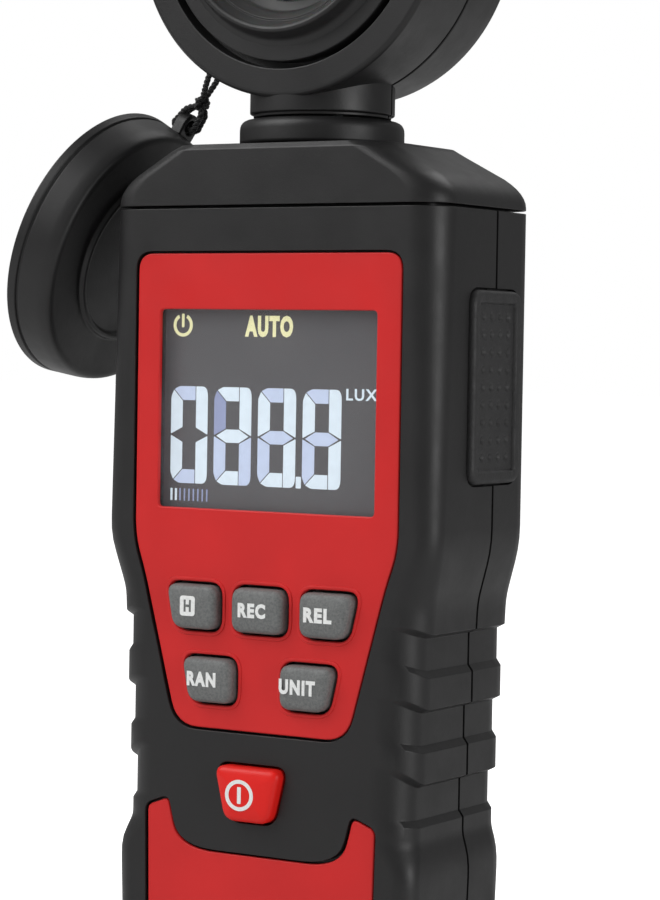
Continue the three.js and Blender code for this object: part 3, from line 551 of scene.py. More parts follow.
def diffuser_white():
    """Milky plastic that lets light in a little way."""
    look = material("diffuser_white", (0.86, 0.86, 0.83), 0.32)
    nodes = Nodes(look)
    nodes.shader.inputs["Subsurface Weight"].default_value = 0.35
    nodes.shader.inputs["Subsurface Scale"].default_value = 2 * MM
    nodes.colour(nodes.patches(5, 2), (0.84, 0.84, 0.80), (0.9, 0.9, 0.87))
    nodes.bump((nodes.noise(0.5, 2), 0.006))
    return look


def machined(name, colour, roughness):
    """Bare or plated metal with fine wear and faint tarnish."""
    look = material(name, colour, roughness, metallic=1)
    nodes = Nodes(look)
    nodes.colour(nodes.patches(1.5, 4, 0.6), shade(colour, 0.7), colour)
    nodes.gloss(nodes.noise(0.4, 3), roughness - 0.08, roughness + 0.12)
    nodes.bump((nodes.noise(0.12, 2), 0.004))
    return look


def circuit_board():
    """Green solder mask over a lattice of copper traces."""
    look = material("circuit_board", (0.015, 0.15, 0.05), 0.35)
    nodes = Nodes(look)
    traces = nodes.add("ShaderNodeTexBrick")
    traces.inputs["Scale"].default_value = 1 / (3 * MM)
    traces.inputs["Mortar Size"].default_value = 0.04
    nodes.link(nodes.where, traces.inputs["Vector"])
    nodes.colour(traces.outputs["Fac"], (0.012, 0.13, 0.045), (0.03, 0.24, 0.08))
    nodes.bump((traces.outputs["Fac"], 0.03))
    return look


def cell_jacket():
    """A shrink-wrapped battery label: a dark body with a bright band at one end."""
    look = material("cell_jacket", (0.03, 0.06, 0.25), 0.28)
    nodes = Nodes(look)
    height = nodes.add("ShaderNodeSeparateXYZ")
    nodes.link(nodes.where, height.inputs["Vector"])
    band = nodes.spread(height.outputs["Z"], 0, 1, 22 * MM, 22.2 * MM)
    jacket = nodes.mix(band, (0.75, 0.32, 0.06), (0.02, 0.045, 0.2))
    nodes.colour(nodes.spread(nodes.noise(3, 3), 0, 0.2), jacket, (0.3, 0.3, 0.3))
    nodes.shader.inputs["Coat Weight"].default_value = 0.4
    return look


def braided_cord():
    """Black polyester cord."""
    look = material("braided_cord", (0.008, 0.008, 0.0085), 0.85)
    nodes = Nodes(look)
    nodes.shader.inputs["Sheen Weight"].default_value = 0.25
    nodes.colour(nodes.patches(0.3, 2), (0.006, 0.006, 0.006), (0.018, 0.018, 0.019))
    nodes.bump((nodes.noise(0.15, 3, 0.7), 0.05))
    return look


def make_materials():
    return {
        "black": moulded("black_abs", (0.0105, 0.0102, 0.0105), 0.44),
        "red": moulded("red_abs", (0.60, 0.020, 0.020), 0.42, depth=0.006, patch=0.06, sheen=0.25),
        "key": key_rubber("key_rubber", (0.135, 0.14, 0.138)),
        "power": moulded("power_key_red", (0.74, 0.014, 0.010), 0.4, depth=0.008, patch=0.05,
                         sheen=0.25),
        "pad": grip_rubber(),
        "window": clear_window(),
        "lcd": lcd_ground(),
        "segment_bright": lit("segment_bright", (0.78, 0.90, 1.0), 0.92),
        "segment_soft": lit("segment_soft", (0.62, 0.72, 0.95), 0.85),
        "segment_dim": lit("segment_dim", (0.33, 0.38, 0.62), 0.8),
        "lit_yellow": lit("lit_yellow", (0.93, 0.90, 0.50), 0.95),
        "ink": print_ink("legend_ink", (0.86, 0.87, 0.86)),
        "white": diffuser_white(),
        "steel": machined("plated_steel", (0.55, 0.56, 0.58), 0.3),
        "brass": machined("insert_brass", (0.62, 0.45, 0.18), 0.3),
        "board": circuit_board(),
        "chip": moulded("chip_black", (0.012, 0.012, 0.013), 0.4),
        "silicone": moulded("silicone_rubber", (0.24, 0.25, 0.26), 0.7, depth=0.01),
        "cell": cell_jacket(),
        "filter": moulded("filter_glass", (0.16, 0.28, 0.14), 0.1, depth=0.001),
        "cord": braided_cord(),
    }


LOOKS = make_materials()

# ---------------------------------------------------------------- the case's form

FRONT_LOW, FRONT_HIGH = box("front_shell")
REAR_LOW, REAR_HIGH = box("rear_shell")
CASE = {
    "half_width": FRONT_HIGH.x, "front": FRONT_LOW.y, "rear": REAR_HIGH.y, "top": FRONT_HIGH.z,
    "parting": (FRONT_HIGH.y + REAR_LOW.y) / 2, "rear_round": 5.3, "base_round": 2, "wall": 2,
    "front_wall": 2.6,
}
FRONT_ROUND = {"foot": 3, "waist": 4.8, "chest": 3.2, "top": 5}
FOOT = {"half_width": 23.5, "flare": 30.6, "flare_half_width": 24.45, "waist": 34.2}
SHOULDER = {"low": 66.5, "low_half_width": 25.1, "high": 74}
# The grips at the waist, from the uppermost down. Each groove's lines rise where they reach the front.
RIB = {
    "count": 3, "pitch": 10.15, "top": 62.7, "half_width": 24.95, "taper": 0.53, "depth": 1.2,
    "ledge": 0.6, "groove": 4.4, "ramp": 0.9, "rise_top": (1.5, 2.1, 2.8), "rise_bottom": (1.7, 1.0, 0.5),
}
SEAM = 0.22            # each side of the line where two shells meet
TONGUE = 1.0           # depth below the surface of the tongue that closes a seam
PLAY = 0.3             # between a panel and its recess
NECK_BORE = 5.45       # of every piece that the neck tube passes through
CAVITY = {"waist": 20, "chest": 24.8, "waist_top": 62, "chest_bottom": 73, "floor": 2.2}
CORNER_STEPS = 12


def case_ring(z, half_width, inset=0, front=CASE["front"], rear=CASE["rear"], rise=0,
              front_round=FRONT_ROUND["top"]):
    """A rounded rectangle round the case at one height. A rise lifts it round the front corners."""
    points = []
    front_round = front_round - inset
    rear_round = CASE["rear_round"] - inset
    x = half_width - inset
    corners = [
        (x - front_round, front + inset + front_round, front_round, 270),
        (x - rear_round, rear - inset - rear_round, rear_round, 0),
        (-x + rear_round, rear - inset - rear_round, rear_round, 90),
        (-x + front_round, front + inset + front_round, front_round, 180),
    ]
    for cx, cy, radius, start in corners:
        for step in range(CORNER_STEPS + 1):
            angle = math.radians(start + 90 * step / CORNER_STEPS)
            px, py = cx + radius * math.cos(angle), cy + radius * math.sin(angle)
            facing_front = max(0.0, -math.sin(angle)) if cy < 0 else 0.0
            points.append(Vector((px, py, z + rise * facing_front ** 1.5)))
    return points


def rib_half_width(i):
    return RIB["half_width"] - RIB["taper"] * i


def side_rows():
    """Up the case's side: height, half-width, the line's round, its rise and the front corner's round."""
    waist = FRONT_ROUND["waist"]
    rows = [
        (CASE["base_round"], FOOT["half_width"], 0, 0, FRONT_ROUND["foot"]),
        (FOOT["flare"], FOOT["flare_half_width"], 2.4, 0, FRONT_ROUND["foot"]),
        (FOOT["waist"], rib_half_width(RIB["count"]), 0.8, 0, waist),
    ]
    for i in reversed(range(RIB["count"])):
        top = RIB["top"] - RIB["pitch"] * i - RIB["ledge"]
        bottom = top - RIB["groove"]
        inner = rib_half_width(i) - RIB["depth"]
        rise, lower_rise = RIB["rise_top"][i], RIB["rise_bottom"][i]
        rows.append((bottom - RIB["ramp"], rib_half_width(i + 1), 0, lower_rise, waist))
        rows.append((bottom, inner, 0, lower_rise, waist))
        rows.append((top, inner, 0, rise, waist))
        rows.append((top + RIB["ledge"], rib_half_width(i), 0, rise, waist))
    rows.append((SHOULDER["low"], SHOULDER["low_half_width"], 1.6, 0, waist))
    rows.append((SHOULDER["high"], CASE["half_width"], 2.6, 0, FRONT_ROUND["chest"]))
    rows.append((CASE["top"], CASE["half_width"], 0, 0, FRONT_ROUND["top"]))
    return rows


def side_levels():
    """Heights, half-widths, rises and front rounds up the side, with every corner rounded."""
    rows = side_rows()
    flat = [(z, half_width, radius) for z, half_width, radius, _, _ in rows]
    rises = [(z, rise) for z, _, _, rise, _ in rows]
    rounds = [(z, front_round) for z, _, _, _, front_round in rows]
    levels = []
    for z, half_width in rounded(flat, steps=3, closed=False):
        levels.append((z, half_width, along(rises, z), along(rounds, z)))
    return levels


def along(points, at):
    """The value at a place on a line through (place, value) points."""
    if at <= points[0][0]:
        return points[0][1]
    for (x0, y0), (x1, y1) in zip(points, points[1:]):
        if at <= x1:
            return y0 + (y1 - y0) * (at - x0) / (x1 - x0)
    return points[-1][1]


def case_solid(name, sunk=0):
    """The whole outer form of the case, or the same form sunk a little below the surface."""
    base = CASE["base_round"]
    rings = []
    for sine, cosine in quarter_round(4):
        rings.append(case_ring(sunk + base * (1 - cosine), FOOT["half_width"],
                               inset=base * (1 - sine) + sunk, front_round=FRONT_ROUND["foot"]))
    for z, half_width, rise, front_round in side_levels()[1:]:
        rings.append(case_ring(z, half_width, inset=sunk, rise=rise, front_round=front_round))
    return loft(name, rings)


def case_cavity(name):
    walls = {"front": CASE["front"] + CASE["front_wall"], "rear": CASE["rear"] - CASE["wall"]}
    levels = [(CAVITY["floor"], CAVITY["waist"]), (CAVITY["waist_top"], CAVITY["waist"]),
              (CAVITY["chest_bottom"], CAVITY["chest"]), (CASE["top"] + 1, CAVITY["chest"])]
    rings = []
    for z, half_width in levels:
        inside = rounded(rectangle((-half_width, half_width), (walls["front"], walls["rear"]), 2.5))
        rings.append(on_axis(inside, "z", z))
    return loft(name, rings)


def before(y):
    return block("before", (-FAR, FAR), (-FAR, y), (-FAR, FAR))


def behind(y):
    return block("behind", (-FAR, FAR), (y, FAR), (-FAR, FAR))


# ---------------------------------------------------------------- outlines on the front

FACE_PANEL = {"bottom": 14.0, "bend": 19.7, "bend_z": 69, "side_z": 74}
LOWER_PANEL = {"rim": 15.2, "bowl": 13.4, "bowl_z": 30.6, "foot": 18.2, "horn_drop": 1.3}
WINDOW_LEDGE = 0.3


def face_panel_corners():
    low, high = box("face_panel")
    bottom, bend = FACE_PANEL["bottom"], FACE_PANEL["bend"]
    bend_z, side_z = FACE_PANEL["bend_z"], FACE_PANEL["side_z"]
    return [
        (-bottom, low.z, 3.5), (bottom, low.z, 3.5), (bend, bend_z, 3), (high.x, side_z, 3),
        (high.x, high.z, 2.4), (-high.x, high.z, 2.4), (-high.x, side_z, 3), (-bend, bend_z, 3),
    ]


def lower_panel_corners():
    low, high = box("lower_panel")
    rim, bowl, bowl_z, foot = [LOWER_PANEL[key] for key in ("rim", "bowl", "bowl_z", "foot")]
    horn, horn_z = high.x, high.z - LOWER_PANEL["horn_drop"]
    return [
        (-foot, low.z, 3.5), (foot, low.z, 3.5), (horn, horn_z, 0.9), (rim, high.z, 0.9),
        (bowl, bowl_z, 5.8), (-bowl, bowl_z, 5.8), (-rim, high.z, 0.9), (-horn, horn_z, 0.9),
    ]


def window_corners():
    low, high = box("display_window")
    ledge = WINDOW_LEDGE
    return rectangle((low.x + ledge, high.x - ledge), (low.z + ledge, high.z - ledge), 0.7)


KEYS = ["hold_key", "record_key", "relative_key", "range_key", "unit_key"]
KEY_FLANGE = 0.9
KEY_SLANT = {
    "hold_key": (1.2, 0), "record_key": (0, 0), "relative_key": (0, 1.4), "range_key": (1.2, 0),
    "unit_key": (0, 1.4), "power_key": (1.8, 1.8),
}
KEY_ROUND = 1.7


def key_corners(name):
    """A key's outline inside its flange. Its lower corners are pulled in where a side slants."""
    low, high = box(name)
    slant_left, slant_right = KEY_SLANT[name]
    left, right = low.x + KEY_FLANGE, high.x - KEY_FLANGE
    bottom, top = low.z + KEY_FLANGE, high.z - KEY_FLANGE
    return [
        (left + slant_left, bottom, KEY_ROUND), (right - slant_right, bottom, KEY_ROUND),
        (right, top, KEY_ROUND), (left, top, KEY_ROUND),
    ]


def pad_corners():
    low, high = box("side_pad_right")
    return rectangle((low.y, high.y), (low.z, high.z), 2.2)


# ---------------------------------------------------------------- the case's pieces

SCREW_SPOTS = ["case_screw_lower_left", "case_screw_lower_right", "case_screw_upper_left",
               "case_screw_upper_right"]
KEY_HOLE_PLAY = 0.35
PANEL_RECESS = 1.3


def front_cuts():
    front = CASE["front"]
    inside = front + CASE["front_wall"] + 1
    floor = front + PANEL_RECESS
    cuts = [
        prism("cut", grown(face_panel_corners(), PLAY), "y", front - 1, floor),
        prism("cut", grown(lower_panel_corners(), PLAY), "y", front - 1, floor),
        prism("cut", grown(window_corners(), 0.6), "y", front - 1, inside),
    ]
    for key in KEYS + ["power_key"]:
        cuts.append(prism("cut", grown(key_corners(key), KEY_HOLE_PLAY), "y", front - 1, inside))
    return cuts


def pad_seats():
    depth = box("side_pad_right")[0].x - PLAY
    corners = grown(pad_corners(), PLAY)
    return [prism("seat", corners, "x", depth, FAR), prism("seat", corners, "x", -FAR, -depth)]


def add_front_shell():
    shell = cut(keep(case_solid("front_shell_visual"), before(CASE["parting"] - SEAM)),
                case_cavity("cavity"))
    cut(shell, *front_cuts(), *pad_seats())
    add(soften(shell), "body", "black", "front_shell")


def seam_tongue():
    """The tongue on the rear shell that closes the line between the shells from inside."""
    band = case_solid("tongue", sunk=TONGUE)
    keep(band, block("band", (-FAR, FAR), (CASE["parting"] - 1, CASE["parting"] + 0.5), (-FAR, FAR)))
    return cut(band, case_cavity("cavity"))


def screw_spot(name):
    centre = middle(name)
    return (centre.x, centre.z)


REAR = {"post_wall": 1.2, "seat_play": 0.4, "seat_below": 1.8, "boss_wall": 2, "ring_wall": 2.2,
        "ring_depth": 0.25, "root": 0.5}


def screw_posts(inner):
    """A post inside the rear wall for each case screw, and the seats cut into them for the heads."""
    low, high = box(SCREW_SPOTS[0])
    radius = (high.x - low.x) / 2
    post, seat = radius + REAR["post_wall"], radius + REAR["seat_play"]
    foot, floor = CASE["parting"] + REAR["root"], high.y - REAR["seat_below"]
    spots = [screw_spot(name) for name in SCREW_SPOTS]
    posts = [rod("post", post, "y", spot, foot, inner + REAR["root"]) for spot in spots]
    seats = [rod("seat", seat, "y", spot, floor, FAR) for spot in spots]
    return posts, seats


def tripod_boss(inner):
    """The boss inside for the tripod bush, the bush's hole, and the shallow ring round it outside."""
    low, high = box("tripod_insert")
    radius, at = (high.x - low.x) / 2, (0, middle("tripod_insert").z)
    boss = rod("boss", radius + REAR["boss_wall"], "y", at, low.y - 1, inner + REAR["root"])
    hole = rod("hole", radius + PLAY, "y", at, low.y - PLAY, FAR)
    ring = rod("ring", radius + REAR["ring_wall"], "y", at, CASE["rear"] - REAR["ring_depth"], FAR)
    return boss, hole, ring


def add_rear_shell():
    shell = cut(keep(case_solid("rear_shell_visual"), behind(CASE["parting"] + SEAM)),
                case_cavity("cavity"))
    inner = CASE["rear"] - CASE["wall"]
    posts, seats = screw_posts(inner)
    boss, hole, ring = tripod_boss(inner)
    low, high = box("battery_door")
    doorway = block("doorway", (low.x - PLAY, high.x + PLAY), (inner - 1, FAR),
                    (low.z - PLAY, high.z + PLAY))
    join(shell, *posts, boss)
    cut(shell, *seats, hole, ring, doorway, *pad_seats())
    gather(soften(shell), soften(seam_tongue(), 0))
    add(shell, "body", "black", "rear_shell")


DOOR = {
    "grip_half_width": 8, "grip_from": 9.5, "grip_to": 3, "grip_depth": 0.7,
    "ridges": 4, "ridge_from": 8.4, "ridge_pitch": 1.35, "ridge_radius": 0.32, "ridge_reach": 6.4,
    "grooves": 7, "groove_from": 7, "groove_pitch": 4.4, "groove_width": 0.7, "groove_depth": 0.3,
    "groove_reach": 13.5,
}


def add_battery_door():
    """The door in the rear wall: a ridged finger grip near its top, and shallow grooves below it."""
    low, high = box("battery_door")
    door = keep(case_solid("battery_door_visual"),
                block("door", (low.x, high.x), (low.y, FAR), (low.z, high.z)))
    half, grip_z = DOOR["grip_half_width"], (high.z - DOOR["grip_from"], high.z - DOOR["grip_to"])
    grip_y = CASE["rear"] - DOOR["grip_depth"]
    cut(door, prism("grip", rectangle((-half, half), grip_z, 2.4), "y", grip_y, FAR))
    reach, ridges = DOOR["ridge_reach"], []
    for i in range(DOOR["ridges"]):
        z = high.z - DOOR["ridge_from"] + i * DOOR["ridge_pitch"]
        ridges.append(rod("ridge", DOOR["ridge_radius"], "x", (grip_y - 0.02, z), -reach, reach, 24))
    reach, grooves = DOOR["groove_reach"], []
    for i in range(DOOR["grooves"]):
        z = low.z + DOOR["groove_from"] + i * DOOR["groove_pitch"]
        outline = rectangle((-reach, reach), (z, z + DOOR["groove_width"]), 0.3)
        grooves.append(prism("groove", outline, "y", CASE["rear"] - DOOR["groove_depth"], FAR))
    cut(door, *grooves)
    gather(soften(door), *[soften(ridge, 0.1) for ridge in ridges])
    add(door, "battery_door", "black", "battery_door")


CAP_SLOPE = {"side": 10, "rear": 3, "front": 0.6}
CAP_BEND = {"straight": 0.8, "height": 4, "share": 0.3, "steps": 6}
CAP_BROW = {"height": 0.9, "share": 0.87, "round": 1.3}
# The lip under the top cap that sits inside the case, and the clear hole in it round the neck.
LIP = {"play": 0.4, "front_wall": 3, "rear_wall": 2.4, "below": 2, "hole": 9}


def top_cap_level(z, share):
    """One level of the cap. The share says how much of its slope lies below that level."""
    at_top = max(0.0, (share - CAP_BROW["share"]) / (1 - CAP_BROW["share"]))
    return case_ring(z, CASE["half_width"] - CAP_SLOPE["side"] * share,
                     front=CASE["front"] + CAP_SLOPE["front"] * at_top,
                     rear=CASE["rear"] - CAP_SLOPE["rear"] * share)


def add_top_cap():
    """The cap: upright a little way, then bent into its slopes and rounded over at its brow."""
    low, high = CASE["top"] + SEAM * 2, box("top_cap")[1].z
    slope_from = CASE["top"] + CAP_BEND["straight"]
    brow_z = slope_from + (high - slope_from) * CAP_BROW["height"]
    side = CAP_SLOPE["side"]
    levels = [(low, 0)]
    for step in range(CAP_BEND["steps"] + 1):
        part = step / CAP_BEND["steps"]
        levels.append((slope_from + CAP_BEND["height"] * part, CAP_BEND["share"] * part ** 2))
    start_z, start_share = levels[-1]
    brow = rounded([(start_z, start_share * side, 0), (brow_z, CAP_BROW["share"] * side, CAP_BROW["round"]),
                    (high, side, 0)], closed=False)
    levels += [(z, inset / side) for z, inset in brow[1:]]
    cap = loft("top_cap_visual", [top_cap_level(z, share) for z, share in levels])
    cut(cap, rod("neck_hole", NECK_BORE, "z", (0, 0), low - 1, FAR))
    half, depth = CAVITY["chest"] - LIP["play"], (CASE["front"] + LIP["front_wall"],
                                                  CASE["rear"] - LIP["rear_wall"])
    lip = prism("lip", rectangle((-half, half), depth, 2.5), "z", low - LIP["below"], low + 0.5)
    cut(lip, rod("neck_hole", LIP["hole"], "z", (0, 0), low - 2 * LIP["below"], FAR))
    gather(soften(cap, 0.3), soften(lip, 0))
    add(cap, "body", "black", "top_cap")


RIM = {"gap": 0.05, "width": 0.55, "height": 0.16}


def rim_round(corners, base):
    """A low raised rim round an opening in the face panel."""
    inner = grown(corners, KEY_HOLE_PLAY + RIM["gap"])
    outer = grown(corners, KEY_HOLE_PLAY + RIM["gap"] + RIM["width"])
    inside, outside = rounded(inner), rounded(outer)
    count = len(inside)
    points, faces = [], []
    section = [(0, 0), (0.12, 0.75), (0.35, 1), (0.65, 1), (0.88, 0.75), (1, 0)]
    for share, height in section:
        for a, b in zip(inside, outside):
            place = a * (1 - share) + b * share
            points.append(Vector((place.x, base - RIM["height"] * height, place.y)))
    points += [Vector((p.x, base + 0.1, p.y)) for p in outside]
    points += [Vector((p.x, base + 0.1, p.y)) for p in inside]
    bands = len(section) + 2
    for band in range(bands):
        for i in range(count):
            j = (i + 1) % count
            a, b = band * count, ((band + 1) % bands) * count
            faces.append((a + i, a + j, b + j, b + i))
    return mesh_object("rim", points, faces)


def add_face_panel():
    low, high = box("face_panel")
    panel = prism("face_panel_visual", face_panel_corners(), "y", low.y, high.y)
    holes = [prism("hole", grown(key_corners(key), KEY_HOLE_PLAY), "y", -FAR, FAR) for key in KEYS]
    cut(panel, prism("window", window_corners(), "y", -FAR, FAR), *holes)
    rims = [soften(rim_round(key_corners(key), low.y), 0) for key in KEYS]
    gather(soften(panel, 0.25), *rims)
    add(panel, "body", "red", "face_panel")


def add_lower_panel():
    low, high = box("lower_panel")
    panel = prism("lower_panel_visual", lower_panel_corners(), "y", low.y, high.y, steps=10)
    add(soften(panel, 0.25), "body", "red", "lower_panel")


# ---------------------------------------------------------------- keys

KEY_CROWN = {"edge": 0.95, "rise": 0.22}


def pillow(name, corners, foot, front, edge, rise):
    """A key top: straight sides, a quarter-round edge and a gently crowned face towards -Y."""
    levels = [(0, foot)]
    straight = front + rise + edge
    for sine, cosine in quarter_round(5):
        levels.append((edge * (1 - cosine), straight - edge * sine))
    for step in (1, 2, 3):
        levels.append((edge + step * 0.55, front + rise * (1 - step / 3) ** 2))
    rings = [on_axis(rounded(grown(corners, -inset)), "y", y) for inset, y in levels]
    return loft(name, rings)


def add_key(name, look):
    low, high = box(name)
    key = pillow(f"{name}_visual", key_corners(name), high.y, low.y, KEY_CROWN["edge"], KEY_CROWN["rise"])
    flange = prism("flange", grown(key_corners(name), KEY_FLANGE), "y", CASE["front"] + 2.9, high.y)
    gather(soften(key, 0), soften(flange, 0.15))
    add(key, name, look, name)


# Each legend's words, its size and how far its middle lies from the key's.
LEGENDS = {
    "record_key": ("REC", (4.5, 2.05), (-0.4, 0.1)), "relative_key": ("REL", (4.5, 2.05), (-0.9, 0.1)),
    "range_key": ("RAN", (4.8, 2.05), (-0.4, 0.2)), "unit_key": ("UNIT", (5.8, 2.1), (-1.0, 0.2)),
}
INK_DEPTH = 0.05
INK_FOOT = 0.02        # how far a symbol reaches into the key
HOLD_SIGN = {"left": 0.1, "up": 0.15, "half_width": 1.25, "half_height": 1.4, "lift": 0.04}
# The strokes of its H: from, to, and half the height.
HOLD_STROKES = [(-0.62, -0.26, 0.85), (0.26, 0.62, 0.85), (-0.4, 0.4, 0.18)]
POWER_SIGN = {"left": 0.75, "outer": 2.15, "inner": 1.62, "squash": 1.07, "lift": 0.03,
              "bar": 0.3, "bar_height": 1.15}


RING_SIDES = 64


def lettering(name, words, size, centre, depth, weight=0.055):
    """Plain sans-serif capitals of a given width and height, as thin raised plates facing -Y."""
    data = bpy.data.curves.new(name, "FONT")
    data.body = words
    data.size = MM
    data.offset = weight * MM
    data.space_character = 1.2
    data.resolution_u = 3
    data.fill_mode = "BOTH"
    data.extrude = INK_DEPTH / 2 * MM
    obj = bpy.data.objects.new(name, data)
    bpy.context.scene.collection.objects.link(obj)
    bpy.context.view_layer.update()
    evaluated = obj.evaluated_get(bpy.context.evaluated_depsgraph_get())
    mesh = bpy.data.meshes.new_from_object(evaluated)
    bpy.data.objects.remove(obj)
    across = [vertex.co.x for vertex in mesh.vertices]
    up = [vertex.co.y for vertex in mesh.vertices]
    width, height = max(across) - min(across), max(up) - min(up)
    to_middle = Matrix.Translation((-min(across) - width / 2, -min(up) - height / 2, 0))
    fit = Matrix.Diagonal((size[0] * MM / width, size[1] * MM / height, 1, 1))
    stand = Matrix.Rotation(math.radians(90), 4, "X")
    place = Matrix.Translation(Vector((centre[0], depth, centre[1])) * MM)
    mesh.transform(place @ stand @ fit @ to_middle)
    plate = bpy.data.objects.new(name, mesh)
    bpy.context.scene.collection.objects.link(plate)
    clean(plate)
    return plate


def ring_plate(name, outer, inner, centre, depth, squash=1.0, gap=0):
    """A flat ring facing -Y, or an arc of one that leaves a gap of so many degrees at the top."""
    start, sweep = math.radians(90 + gap / 2), math.radians(360 - gap)
    count = RING_SIDES + (1 if gap else 0)
    points, faces = [], []
    for i in range(count):
        angle = start + sweep * i / RING_SIDES
        across, up = math.cos(angle), math.sin(angle)
        for radius, y in ((outer, depth), (inner, depth), (inner, depth + INK_DEPTH),
                          (outer, depth + INK_DEPTH)):
            points.append(Vector((centre[0] + radius * across * squash, y, centre[1] + radius * up)))
    for i in range(count if not gap else count - 1):
        a, b = i * 4, ((i + 1) % count) * 4
        for k in range(4):
            faces.append((a + k, a + (k + 1) % 4, b + (k + 1) % 4, b + k))
    if gap:
        last = (count - 1) * 4
        faces += [(0, 1, 2, 3), (last + 3, last + 2, last + 1, last)]
    return mesh_object(name, points, faces)


def add_legends():
    for key, (words, size, (dx, dz)) in LEGENDS.items():
        centre, front = middle(key), box(key)[0].y
        legend = lettering(f"{key}_legend", words, size, (centre.x + dx, centre.z + dz), front - 0.015)
        add(soften(legend, 0), key, "ink")
    add_hold_symbol()
    add_power_symbol()


def add_hold_symbol():
    """A boxed H on the hold key."""
    centre, front = middle("hold_key"), box("hold_key")[0].y
    x, z = centre.x - HOLD_SIGN["left"], centre.z + HOLD_SIGN["up"]
    width, height = HOLD_SIGN["half_width"], HOLD_SIGN["half_height"]
    plate = prism("hold_key_legend", rectangle((x - width, x + width), (z - height, z + height), 0.5), "y",
                  front - HOLD_SIGN["lift"], front + INK_FOOT)
    strokes = []
    for left, right, half_height in HOLD_STROKES:
        outline = rectangle((x + left, x + right), (z - half_height, z + half_height), 0)
        strokes.append(prism("stroke", outline, "y", -FAR, FAR))
    cut(plate, *strokes)
    add(soften(plate, 0), "hold_key", "ink")


def add_power_symbol():
    """A ring with a bar in it, the general sign for power."""
    centre, front = middle("power_key"), box("power_key")[0].y
    x, z, surface = centre.x - POWER_SIGN["left"], centre.z, front - POWER_SIGN["lift"]
    ring = ring_plate("power_key_legend", POWER_SIGN["outer"], POWER_SIGN["inner"], (x, z), surface,
                      squash=POWER_SIGN["squash"])
    half, reach = POWER_SIGN["bar"], POWER_SIGN["bar_height"]
    outline = rectangle((x - half, x + half), (z - reach, z + reach), 0.1)
    gather(ring, prism("bar", outline, "y", surface, front + INK_FOOT))
    add(soften(ring, 0), "power_key", "ink")


# ---------------------------------------------------------------- grip pads

PAD = {"edge": 0.7, "rim": 1.45, "slope": 0.45, "sink": 0.5, "bed": 1.1}
DIMPLES = {"columns": 4, "rows": 9, "across": 2.3, "up": 2.39, "radius": 0.62, "depth": 0.38}
FIELD_STEP = 0.19


def pad_frame(name, corners, low_x, high_x):
    """The pad's raised rim, lofted outward from the case's side."""
    edge, rim, slope = PAD["edge"], PAD["rim"], PAD["slope"]
    levels = [(0, low_x)]
    for sine, cosine in quarter_round(4):
        levels.append((edge * (1 - cosine), high_x - edge * (1 - sine)))
    levels += [(rim, high_x - 0.02), (rim + slope * 0.3, high_x - 0.12),
               (rim + slope, high_x - PAD["sink"]), (rim + slope + 0.05, high_x - PAD["bed"])]
    return loft(name, [on_axis(rounded(grown(corners, -inset), steps=8), "x", x) for inset, x in levels])


def dimple(y, z):
    """How deep the field is dented at a place measured from its middle."""
    column = min(max(round(y / DIMPLES["across"] + 1.5), 0), DIMPLES["columns"] - 1)
    row = min(max(round(z / DIMPLES["up"] + 4), 0), DIMPLES["rows"] - 1)
    dy = y - (column - 1.5) * DIMPLES["across"]
    dz = z - (row - 4) * DIMPLES["up"]
    share = math.hypot(dy, dz) / DIMPLES["radius"]
    return DIMPLES["depth"] * (1 - share * share) if share < 1 else 0.0


def pad_field(centre, size, face_x, bed_x):
    """The dimpled face inside the rim, closed behind."""
    columns, rows = round(size[0] / FIELD_STEP), round(size[1] / FIELD_STEP)
    points, faces = [], []
    for row in range(rows + 1):
        for column in range(columns + 1):
            y, z = size[0] * (column / columns - 0.5), size[1] * (row / rows - 0.5)
            points.append(Vector((face_x - dimple(y, z), centre[0] + y, centre[1] + z)))
    wide = columns + 1
    for row in range(rows):
        for column in range(columns):
            a = row * wide + column
            faces.append((a, a + 1, a + wide + 1, a + wide))
    border = [*range(wide), *range(wide * 2 - 1, wide * (rows + 1), wide),
              *range(wide * (rows + 1) - 2, wide * rows - 1, -1), *range(wide * (rows - 1), 0, -wide)]
    base = len(points)
    points += [Vector((bed_x, points[i].y, points[i].z)) for i in border]
    count = len(border)
    for i in range(count):
        j = (i + 1) % count
        faces.append((border[i], border[j], base + j, base + i))
    faces.append(tuple(range(base, base + count))[::-1])
    return mesh_object("pad_field", points, faces)


def add_side_pad(name, side):
    low, high = box("side_pad_right")
    pad = pad_frame(f"{name}_visual", pad_corners(), low.x, high.x)
    inset = PAD["rim"] + PAD["slope"] * 0.7
    centre = ((low.y + high.y) / 2, (low.z + high.z) / 2)
    size = (high.y - low.y - 2 * inset, high.z - low.z - 2 * inset)
    field = pad_field(centre, size, high.x - PAD["sink"], high.x - PAD["bed"])
    gather(soften(pad, 0), soften(field, 0))
    if side < 0:
        pad.data.transform(Matrix.Diagonal((-1, 1, 1, 1)))
        pad.data.flip_normals()
    add(pad, "body", "pad", name)


# ---------------------------------------------------------------- display

DIGIT = {"width": 6.35, "height": 13.8, "stroke": 2.1, "pitch": 7.33, "left": -17.5, "above": 3.2}
SEGMENT_GAP = 0.075
SEGMENT_ROUND = 1.5
SEGMENTS_LIT = [
    {"a": "soft", "b": "bright", "c": "bright", "d": "soft", "e": "bright", "f": "bright"},
    {"a": "bright", "b": "bright", "c": "soft", "d": "bright", "e": "soft", "f": "dim", "g": "bright"},
    {"a": "soft", "b": "bright", "c": "bright", "d": "bright", "e": "soft", "f": "bright", "g": "soft"},
    {"a": "soft", "b": "bright", "c": "bright", "d": "bright", "e": "soft", "f": "bright", "g": "soft"},
]


